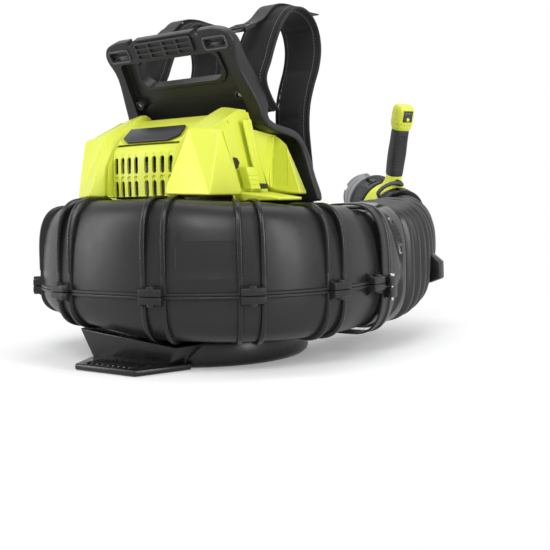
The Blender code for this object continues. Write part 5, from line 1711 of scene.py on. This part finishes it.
def build_hose_end():
    """The clamp that holds the bellows on the tube, and its screw."""
    start, rim = HOSE_END_STATION, CLAMP_RADIUS - 1.2
    ring = ((TUBE_RADIUS + 0.5, start + 0.6), (CLAMP_RADIUS - 1.6, start + 0.6), (CLAMP_RADIUS, start + 2),
            (CLAMP_RADIUS, start + 6), (rim, start + 7), (rim, -25), (CLAMP_RADIUS, -24),
            (CLAMP_RADIUS, -21), (CLAMP_RADIUS - 1.6, -19.5), (TUBE_RADIUS + 0.5, -19.5))
    clamp = as_object("hose_end_clamp_skin", tube_turned(ring))
    for low, high in ((-10, -1), (1, 10)):
        fuse(clamp, rounded(box_at((start + 4, start + 16), (36, 56), (low - 24, high - 24)), 1.4, 3))
    carve(clamp, box_at((start - 1, -15), (34, 60), (-25, -23)))
    finished(clamp, "satin_black", "hose_end", ("hose_end_clamp",))
    rod = turned(((2, -12), (2, 10.5), (4, 10.5), (4, 12.5), (3.2, 13), (2, 13), (1.8, 11.8)), 24,
                 tube_at(start + 10, 50, -24), TUBE_UP)
    piece("hose_end_screw_skin", rod, "steel", "hose_end", ("hose_end_screw",))


def build_tube():
    """The blower tube and the grey socket on its free end, then the collar and the handle."""
    build_hose_end()
    pipe = ((33, HOSE_END_STATION + 4), (TUBE_RADIUS, HOSE_END_STATION + 4), (TUBE_RADIUS, -19), (42.2, -19),
            (43, -18.4), (43, -17), (42.2, -16.4), (TUBE_RADIUS, -16.4), (TUBE_RADIUS, 59), (33, 59))
    piece("blower_tube_skin", tube_turned(pipe), "satin_black", "tube", ("blower_tube",))

    rim = TUBE_RADIUS + 0.5
    profile = ((33.5, 59.3), (40.2, 59.3), (41, 60), (41, 62.4), (40, 63.2), (rim + 0.8, 63.8), (rim, 64.6),
               (rim, SOCKET_END - 4), (rim + 1.1, SOCKET_END - 3.6), (rim + 1.1, SOCKET_END - 0.8),
               (rim + 0.4, SOCKET_END), (33.5, SOCKET_END))
    socket = as_object("tube_socket_skin", tube_turned(profile))
    for turn in NOTCH_TURNS:
        angle = math.radians(turn)
        run = TUBE_UP * math.cos(angle) + TUBE_SIDE * math.sin(angle)
        middle = tube_at(SOCKET_END - 1.6) + run * 36
        across = TUBE_AXIS.cross(run)
        corners = [middle + across * a + TUBE_AXIS * b + run * c
                   for a in (-4.5, 4.5) for b in (-2.6, 4) for c in (-6, 6)]
        carve(socket, rounded(hull(corners), 1.2, 3))
    pin = tube_at(SOCKET_END - 8, 0, 0)
    fuse(socket, lofted([circle(pin + TUBE_UP * level, TUBE_UP, radius, 28)
                         for radius, level in ((3, 35.6), (3, 39.4), (2.4, 40))]))
    finished(socket, "light_grey", "tube", ("tube_socket",))
    band = ((rim - 0.2, -0.9), (rim + 0.7, -0.6), (rim + 0.7, 0.6), (rim - 0.2, 0.9))
    bands = [turned(band, 96, tube_at(station), TUBE_AXIS, closed=True) for station in BAND_STATIONS]
    piece("socket_bands", merged(*bands), "light_grey", "tube")

    build_collar()
    build_handle()


COLLAR_RIBS = 72
COLLAR_RADIUS = 43.6


def build_collar():
    """Locking collar: fine ribs all round, a wider rim, and the bayonet's slot."""
    inner = TUBE_RADIUS + 0.5
    profile = ((inner, 23), (43, 23), (44, 23.6), (44, 25.4), (COLLAR_RADIUS, 26.4), (COLLAR_RADIUS, 49.6),
               (44.6, 51), (46, 52), (46.5, 53), (46.5, 56.2), (45.8, 57), (inner, 57))
    collar = as_object("locking_collar_skin", tube_turned(profile, 128))
    for low, high, half in ((30, 52.4, 3), (30, 36, 9)):
        corners = [tube_at(low) + TUBE_AXIS * (station - low) + TUBE_UP * level + TUBE_SIDE * (-20 + a)
                   for station in (low, high) for level in (34, 50) for a in (-half, half)]
        carve(collar, rounded(hull(corners), 0.8, 2))
    finished(collar, "collar_grey", "collar", ("locking_collar",))
    rib = rounded(boxes(((-0.7, -11.2, -0.8), (0.7, 11.2, 1.7))), 0.45, 2)
    places = []
    for i in range(COLLAR_RIBS):
        angle = 2 * math.pi * i / COLLAR_RIBS
        out = TUBE_UP * math.cos(angle) + TUBE_SIDE * math.sin(angle)
        if not (out.dot(TUBE_UP) > 0.6 and -0.68 < out.dot(TUBE_SIDE) < -0.2):
            places.append((tube_at(38) + out * COLLAR_RADIUS, out, TUBE_AXIS.cross(out)))
    scattered("collar_ribs", rib, places, "collar_grey", "collar")


BUTTON_HEIGHT = 160
BASE_ROWS = ((38, 14.5, 15, 24), (43, 14.5, 15, 20), (48, 12.5, 14, 16), (54, 11.5, 13, 13.5), (62, 11,
                                                                                                12, 12))
GRIP_ROWS = ((62.3, 11.5, 12.5, 12.5), (66, 12.4, 13, 13.4), (80, 13, 13, 14), (100, 13, 13.5, 14.5),
             (120, 12, 13, 14), (136, 12, 13.2, 13.8), (139.7, 11.5, 13, 13.5))
HEAD_ROWS = ((140, 11, 14, 13), (143, 12.8, 15.6, 14.6), (148, 15, 17.2, 15.6), (156, 16, 19, 16),
             (166, 15.8, 19.4, 16), (174, 15, 19, 15.5), (179, 13, 16.6, 13.8), (181, 11, 14, 12))


def button_bore(near, far):
    """The round hole for the power button, as a cutter along the tube."""
    return lofted([circle(tube_at(s, 0, BUTTON_HEIGHT), TUBE_AXIS, 3.3, 32) for s in (near, far)])


def build_grip():
    """The handle's base, clamped on the tube, and the rubber grip above it."""
    bore = TUBE_RADIUS + 0.6
    ring = ((bore, -16), (43.6, -16), (45, -14.8), (45, 13.8), (43.6, 15), (bore, 15))
    base = as_object("handle_base_skin", tube_turned(ring))
    fuse(base, lofted(handle_loft(BASE_ROWS)))
    carve(base, tube_turned(((2, -60), (bore, -60), (bore, 60), (2, 60))))
    carve(base, lofted([circle(tube_at(-s, 0, RELIEF_UP), TUBE_AXIS, 5.8, 32) for s in (44, 12)]))
    finished(base, "lime", "tube", ("handle_base",), angle=28)

    grip = as_object("grip_sleeve_skin", lofted(handle_loft(GRIP_ROWS)))
    inset = [tube_at(-16 - depth, side * half, height) + TUBE_AXIS * 4.2 for depth in (0, 8)
             for side in (-1, 1) for half, height in ((7.5, 74), (8.5, 84), (8.5, 122), (7.5, 132))]
    carve(grip, rounded(hull(inset), 1.0, 2))
    finished(grip, "grip", "tube", ("grip_sleeve",), angle=30)
    bumps = rounded(boxes(((-6.2, -0.8, -0.8), (6.2, 0.8, 0.9))), 0.4, 2)
    rows = [(tube_at(-11.9, 0, height), -TUBE_AXIS, TUBE_SIDE) for height in range(78, 130, 5)]
    scattered("grip_ribs", bumps, rows, "rubber", "tube")


def build_head():
    """The handle's head with its parting groove, the control panel, its lamps and the power button."""
    head = as_object("handle_head_skin", rounded(lofted(handle_loft(HEAD_ROWS)), 1.2, 3, 50))
    carve(head, rounded(box_at((1.5, 30), (-6.5, 6.5), (143, 169)), 0.8, 2))
    carve(head, box_at((-30, -17.5), (-8.4, 8.4), (155.5, 174.5)))
    carve(head, button_bore(-20, -14))
    groove = [handle_section(*row) for row in ((150.6, 14.9, 17.2, 15.0), (151.6, 15.0, 17.3, 15.1))]
    shell = [handle_section(height, 30, 30, 30) for height in (151.6, 150.6)]
    carve(head, lofted(groove + shell, closed=True))
    finished(head, "lime", "tube", ("handle_head",), angle=28)

    panel = as_object("control_panel_skin", rounded(box_at((-19.6, -17.8), (-8, 8), (156, 174)), 0.6, 3))
    carve(panel, button_bore(-30, -10))
    finished(panel, "dark_grey", "tube", ("control_panel",))
    lamps = [(tube_at(-19.7, across, 170), -TUBE_AXIS, TUBE_SIDE) for across in (-4.5, -1.5, 1.5, 4.5)]
    dot = turned(((0.8, -0.3), (0.8, 0.15), (0.5, 0.35)), 14)
    scattered("panel_lamps", dot, lamps, "light_grey", "tube")
    button = turned(((2.9, 0), (2.9, 3.6), (2.4, 4.2)), 32, tube_at(-16.4, 0, BUTTON_HEIGHT), -TUBE_AXIS)
    piece("power_button_skin", button, "lime", "power_button", ("power_button",))


def build_trigger():
    """The trigger, with rows of teeth in its two finger hollows."""
    outline = ((8, 145), (15, 144.5), (22, 147), (24.5, 152), (22, 157), (24.5, 162), (21, 167.5), (8, 167.5))
    shape = round_corners(outline, 2.0, 3)
    rings = [[tube_at(s - (shrink if s > 9 else 0), across, h) for s, h in shape]
             for across, shrink in ((-6, 0.8), (-5.2, 0), (5.2, 0), (6, 0.8))]
    piece("trigger_skin", lofted(rings), "rubber", "trigger", ("trigger",))
    tooth = rounded(boxes(((-5.2, -0.6, -0.6), (5.2, 0.6, 0.7))), 0.3, 2)
    rows = [(tube_at(22.6 + 1.2 * math.cos((h - 147) / 20 * 4 * math.pi + math.pi / 2), 0, h),
             TUBE_AXIS, TUBE_SIDE) for h in (149, 151.4, 153.8, 160, 162.4, 164.8)]
    scattered("trigger_teeth", tooth, rows, "rubber", "trigger")


def build_cable():
    """The ringed strain relief on the handle's base and the ribbed cable from it to the hose end."""
    relief = turned(((5.4, -1.4), (5.4, 1.5), (4.6, 2.1), (4.6, 3.1), (5.1, 3.5), (5.1, 4.9), (4.4, 5.3),
                     (4.4, 6.2), (4.8, 6.6), (4.8, 8), (4.2, 8.5)), 32, tube_at(-16, 0, RELIEF_UP),
                     -TUBE_AXIS)
    piece("strain_relief_skin", relief, "rubber", "tube", ("strain_relief",))
    line = smooth_line([tube_at(*place) for place in CABLE_ROUTE], 10)
    ribbed = [3.5 if i % 2 else 3.0 for i in range(len(line))]
    cable = dressed(as_object("control_cable_skin", swept(line, ribbed, 20)), "collar_grey", 60)
    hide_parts("control_cable")
    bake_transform(cable)


def build_handle():
    build_grip()
    build_head()
    build_trigger()
    build_cable()


# ---------------------------------------------------------------- stage

CAMERA_PLACE = Vector((0.7741, -0.9977, 0.2035))
CAMERA_BEARING = 35.64          # degrees round from +Y towards -X
CAMERA_PITCH = 0.21
CAMERA_ROLL = 1.27
CAMERA_LENS = 59.1
CAMERA_SHIFT = (0.0727, -0.1364)


LIGHT_TARGET = (0, 0.05, 0.2)
# name, place, size, share of the key light's power
LAMPS = (("key", (0.9, -1.9, 1.9), (1.2, 0.9), 1.0), ("left_strip", (-1.7, -1.5, 0.9), (0.35, 1.9), 0.8),
         ("right_strip", (2.0, -0.2, 0.8), (0.35, 1.7), 0.8), ("top", (0.0, 0.5, 2.2), (1.6, 1.6), 0.5))


def area_light(name, place, size, power):
    """A softbox aimed at the object."""
    light = bpy.data.lights.new(name, "AREA")
    light.shape = "RECTANGLE"
    light.size, light.size_y = size
    light.energy = power
    lamp = linked(name, light)
    lamp.location = place
    lamp.rotation_euler = (Vector(LIGHT_TARGET) - Vector(place)).to_track_quat("-Z", "Y").to_euler()


def paper(name, strength):
    """White paper: the camera sees it as plain white away from the object, and keeps the shadow near it."""
    tree = Tree(name)
    tree.set(Base_Color=tree.mix(tree.noise(3.0), (0.80, 0.80, 0.80, 1), (0.84, 0.84, 0.84, 1)),
             Roughness=0.9)
    white = tree.add("Emission", {"Color": (1, 1, 1, 1), "Strength": 1.0}).outputs[0]
    glow = tree.add("Emission", {"Color": (1, 1, 1, 1), "Strength": strength}).outputs[0]
    path = tree.add("LightPath")
    seen = path.outputs["Is Camera Ray"]
    for other in ("Is Glossy Ray", "Is Transmission Ray"):
        seen = tree.math("MAXIMUM", seen, path.outputs[other])
    away = tree.add("VectorMath", {0: tree.place}, operation="LENGTH").outputs["Value"]
    lit = tree.shader.outputs[0]
    both = tree.add("AddShader", {0: lit, 1: glow}).outputs[0]
    fade = tree.add("MixShader", {"Fac": tree.ramp(away, 0.30, 0.75), 1: both, 2: white}).outputs[0]
    share = tree.add("MixShader", {"Fac": seen, 1: lit, 2: fade}).outputs[0]
    tree.links.new(share, tree.nodes["Material Output"].inputs["Surface"])
    return tree.material


def build_floor(stage):
    """A flat sheet of paper just below the object."""
    half = stage.floor_size / 2
    shape = bmesh.new()
    loft(shape, [[Vector((x, y, z)) for x, y in ((-half, -half), (half, -half), (half, half), (-half, half))]
                 for z in (-0.03, -0.0005)])
    bmesh.ops.recalc_face_normals(shape, faces=shape.faces)
    mesh = bpy.data.meshes.new("floor")
    shape.to_mesh(mesh)
    shape.free()
    mesh.materials.append(paper("floor_paper", stage.floor_glow))
    linked("floor", mesh)


def build_world(stage):
    """An even, pale sky that the camera and clear reflections see as plain white."""
    world = bpy.data.worlds.new("studio")
    world.use_nodes = True
    nodes, links = world.node_tree.nodes, world.node_tree.links
    plain_sky = nodes["Background"]
    plain_sky.inputs["Color"].default_value = (0.93, 0.94, 0.95, 1)
    plain_sky.inputs["Strength"].default_value = stage.sky
    white = nodes.new("ShaderNodeBackground")
    white.inputs["Color"].default_value = (1, 1, 1, 1)
    white.inputs["Strength"].default_value = 1.0
    share = nodes.new("ShaderNodeMixShader")
    path = nodes.new("ShaderNodeLightPath")
    seen = path.outputs["Is Camera Ray"]
    for other in ("Is Glossy Ray", "Is Transmission Ray"):
        either = nodes.new("ShaderNodeMath")
        either.operation = "MAXIMUM"
        links.new(seen, either.inputs[0])
        links.new(path.outputs[other], either.inputs[1])
        seen = either.outputs[0]
    links.new(seen, share.inputs["Fac"])
    links.new(plain_sky.outputs[0], share.inputs[1])
    links.new(white.outputs[0], share.inputs[2])
    links.new(share.outputs[0], nodes["World Output"].inputs["Surface"])
    bpy.context.scene.world = world


def build_camera():
    """The camera, turned by its bearing and pitch and rolled a little round its line of sight."""
    data = bpy.data.cameras.new("camera")
    data.lens = CAMERA_LENS
    data.sensor_width = 36.0
    data.shift_x, data.shift_y = CAMERA_SHIFT
    camera = linked("camera", data)
    bearing, pitch = math.radians(CAMERA_BEARING), math.radians(CAMERA_PITCH)
    look = Vector((-math.sin(bearing) * math.cos(pitch), math.cos(bearing) * math.cos(pitch),
                   math.sin(pitch)))
    turn = Matrix.Rotation(math.radians(CAMERA_ROLL), 3, look) @ look.to_track_quat("-Z", "Y").to_matrix()
    camera.matrix_world = Matrix.Translation(CAMERA_PLACE) @ turn.to_4x4()
    bpy.context.scene.camera = camera


def build_stage(stage):
    bpy.context.scene.view_settings.view_transform = "Standard"
    build_floor(stage)
    build_world(stage)
    for name, place, size, share in LAMPS:
        area_light(name, place, size, stage.key_power * share)
    build_camera()


# ---------------------------------------------------------------- add-on

def colour(label, what, value):
    return FloatVectorProperty(name=label, description=what, subtype="COLOR", size=3, min=0, max=1,
                               default=value)


def length(label, what, value, low=0.0001):
    return FloatProperty(name=label, description=what, unit="LENGTH", default=value, min=low, precision=4)


class BlowerColours(bpy.types.PropertyGroup):
    """Base colours of the finishes, as linear values"""
    black: colour("Frame black", "Moulded frame, foot and drum", (0.0105, 0.0105, 0.011))
    duct: colour("Duct black", "The two shells of the ring duct", (0.0115, 0.0115, 0.012))
    gloss: colour("Gloss black", "Outlet cuff and bellows", (0.005, 0.005, 0.0055))
    lime: colour("Lime", "Housing and handle", (0.66, 0.72, 0.070))
    rubber: colour("Rubber", "Grips, trigger and cable", (0.014, 0.0145, 0.015))
    tube_grey: colour("Tube grey", "Free end of the blower tube", (0.30, 0.31, 0.32))
    collar: colour("Collar grey", "Ribbed locking collar", (0.055, 0.056, 0.060))
    dark_grey: colour("Dark grey", "Fan, panels and terminals", (0.035, 0.036, 0.038))
    badge: colour("Plaque", "Blank plaque on the housing", (0.042, 0.045, 0.050))
    fabric: colour("Fabric", "Straps, pads and webbing", (0.0095, 0.0095, 0.010))
    thread: colour("Thread", "Stitching on the straps and pads", (0.10, 0.10, 0.105))


class BlowerSizes(bpy.types.PropertyGroup):
    """Sizes of the details that the construction leaves open"""
    stitch: length("Stitch", "Length of one stitch on the straps", 0.0032)
    stitch_pitch: length("Stitch pitch", "From one stitch to the next", 0.0046)
    cushion_voxel: length("Cushion grid", "Grid of the pads before they are blown up", 0.004, 0.002)
    cushion_rise: length("Cushion rise", "How far a pad's cloth may move", 0.0012, 0)


class BlowerStage(bpy.types.PropertyGroup):
    """Floor and light round the object"""
    floor_size: FloatProperty(name="Floor size", description="Side of the square floor", unit="LENGTH",
                              default=12.0, min=1)
    floor_glow: FloatProperty(name="Floor glow", description="How much paler the camera sees the floor",
                              default=0.2, min=0)
    sky: FloatProperty(name="Sky", description="Strength of the even light all round", default=0.42, min=0)
    key_power: FloatProperty(name="Key light", description="Power of the main softbox, in watts",
                             default=30.0, min=0)


class BLOWER_OT_duct(bpy.types.Operator):
    """Make the ring duct's four shells with their ribs, lugs and screws"""
    bl_idname = "blower.duct"
    bl_label = "Ring duct"

    def execute(self, context):
        build_ring()
        return {"FINISHED"}


class BLOWER_OT_base(bpy.types.Operator):
    """Make the fan drum, the fan case and the foot"""
    bl_idname = "blower.base"
    bl_label = "Drum and foot"

    def execute(self, context):
        build_drum()
        build_foot()
        return {"FINISHED"}


class BLOWER_OT_housing(bpy.types.Operator):
    """Make the lime housing with its slotted panel and plaque"""
    bl_idname = "blower.housing"
    bl_label = "Housing"

    def execute(self, context):
        build_housing()
        build_plaque()
        return {"FINISHED"}


class BLOWER_OT_bays(bpy.types.Operator):
    """Make the two battery bays with their contacts and latches"""
    bl_idname = "blower.bays"
    bl_label = "Battery bays"

    def execute(self, context):
        for side, word in SIDES:
            build_bay(side, word)
        return {"FINISHED"}


class BLOWER_OT_frame(bpy.types.Operator):
    """Make the moulded frame and its carrying grip"""
    bl_idname = "blower.frame"
    bl_label = "Frame"

    def execute(self, context):
        build_frame()
        return {"FINISHED"}


class BLOWER_OT_pads(bpy.types.Operator):
    """Make the two pads against the wearer's back"""
    bl_idname = "blower.pads"
    bl_label = "Back pads"

    def execute(self, context):
        build_pads()
        return {"FINISHED"}


class BLOWER_OT_straps(bpy.types.Operator):
    """Make the shoulder straps, their webbing and the ladder locks"""
    bl_idname = "blower.straps"
    bl_label = "Straps"

    def execute(self, context):
        for side, word in SIDES:
            build_strap(side, word)
        return {"FINISHED"}


class BLOWER_OT_outlet(bpy.types.Operator):
    """Make the outlet's clamp and cuff and the bellows"""
    bl_idname = "blower.outlet"
    bl_label = "Outlet and bellows"

    def execute(self, context):
        build_outlet()
        return {"FINISHED"}


class BLOWER_OT_tube(bpy.types.Operator):
    """Make the blower tube, its collar and the control handle"""
    bl_idname = "blower.tube"
    bl_label = "Tube and handle"

    def execute(self, context):
        build_tube()
        return {"FINISHED"}


class BLOWER_OT_inside(bpy.types.Operator):
    """Finish the construction's own nodes that stay on show"""
    bl_idname = "blower.inside"
    bl_label = "Inside parts"

    def execute(self, context):
        finish_nodes()
        return {"FINISHED"}


class BLOWER_OT_stage(bpy.types.Operator):
    """Make the floor, the lights and the camera"""
    bl_idname = "blower.stage"
    bl_label = "Stage"

    def execute(self, context):
        build_stage(context.scene.blower_stage)
        return {"FINISHED"}


class BLOWER_PT_panel(bpy.types.Panel):
    """Sizes, colours and the steps that make the blower"""
    bl_label = "Leaf Blower"
    bl_space_type = "VIEW_3D"
    bl_region_type = "UI"
    bl_category = "Blower"

    def draw(self, context):
        layout = self.layout
        for group in (context.scene.blower_sizes, context.scene.blower_colours, context.scene.blower_stage):
            box_layout = layout.box()
            for name in group.__annotations__:
                box_layout.prop(group, name)
        for step in STEPS:
            layout.operator("blower." + step)


def finish_nodes():
    """Give every construction node that no piece stands for its finish."""
    slots = {row["node"]: row["material_slot"] for row in frame["record"]["subparts"]}
    for name, node in frame["nodes"].items():
        node.data.materials.clear()
        node.data.materials.append(FINISHES[slots[name]])


STEPS = ("inside", "duct", "base", "housing", "bays", "frame", "pads", "straps", "outlet", "tube", "stage")
CLASSES = (BlowerSizes, BlowerColours, BlowerStage, BLOWER_OT_inside, BLOWER_OT_duct, BLOWER_OT_base,
           BLOWER_OT_housing, BLOWER_OT_bays, BLOWER_OT_frame, BLOWER_OT_pads, BLOWER_OT_straps,
           BLOWER_OT_outlet, BLOWER_OT_tube, BLOWER_OT_stage, BLOWER_PT_panel)


def register():
    for made in CLASSES:
        bpy.utils.register_class(made)
    bpy.types.Scene.blower_sizes = PointerProperty(type=BlowerSizes)
    bpy.types.Scene.blower_colours = PointerProperty(type=BlowerColours)
    bpy.types.Scene.blower_stage = PointerProperty(type=BlowerStage)


def unregister():
    del bpy.types.Scene.blower_stage
    del bpy.types.Scene.blower_colours
    del bpy.types.Scene.blower_sizes
    for made in reversed(CLASSES):
        bpy.utils.unregister_class(made)


def plain(bounds):
    return [[round(float(part), 6) for part in corner] for corner in bounds]


def main():
    register()
    make_finishes(bpy.context.scene.blower_colours)
    for step in STEPS:
        getattr(bpy.ops.blower, step)()


if __name__ == "__main__":
    main()
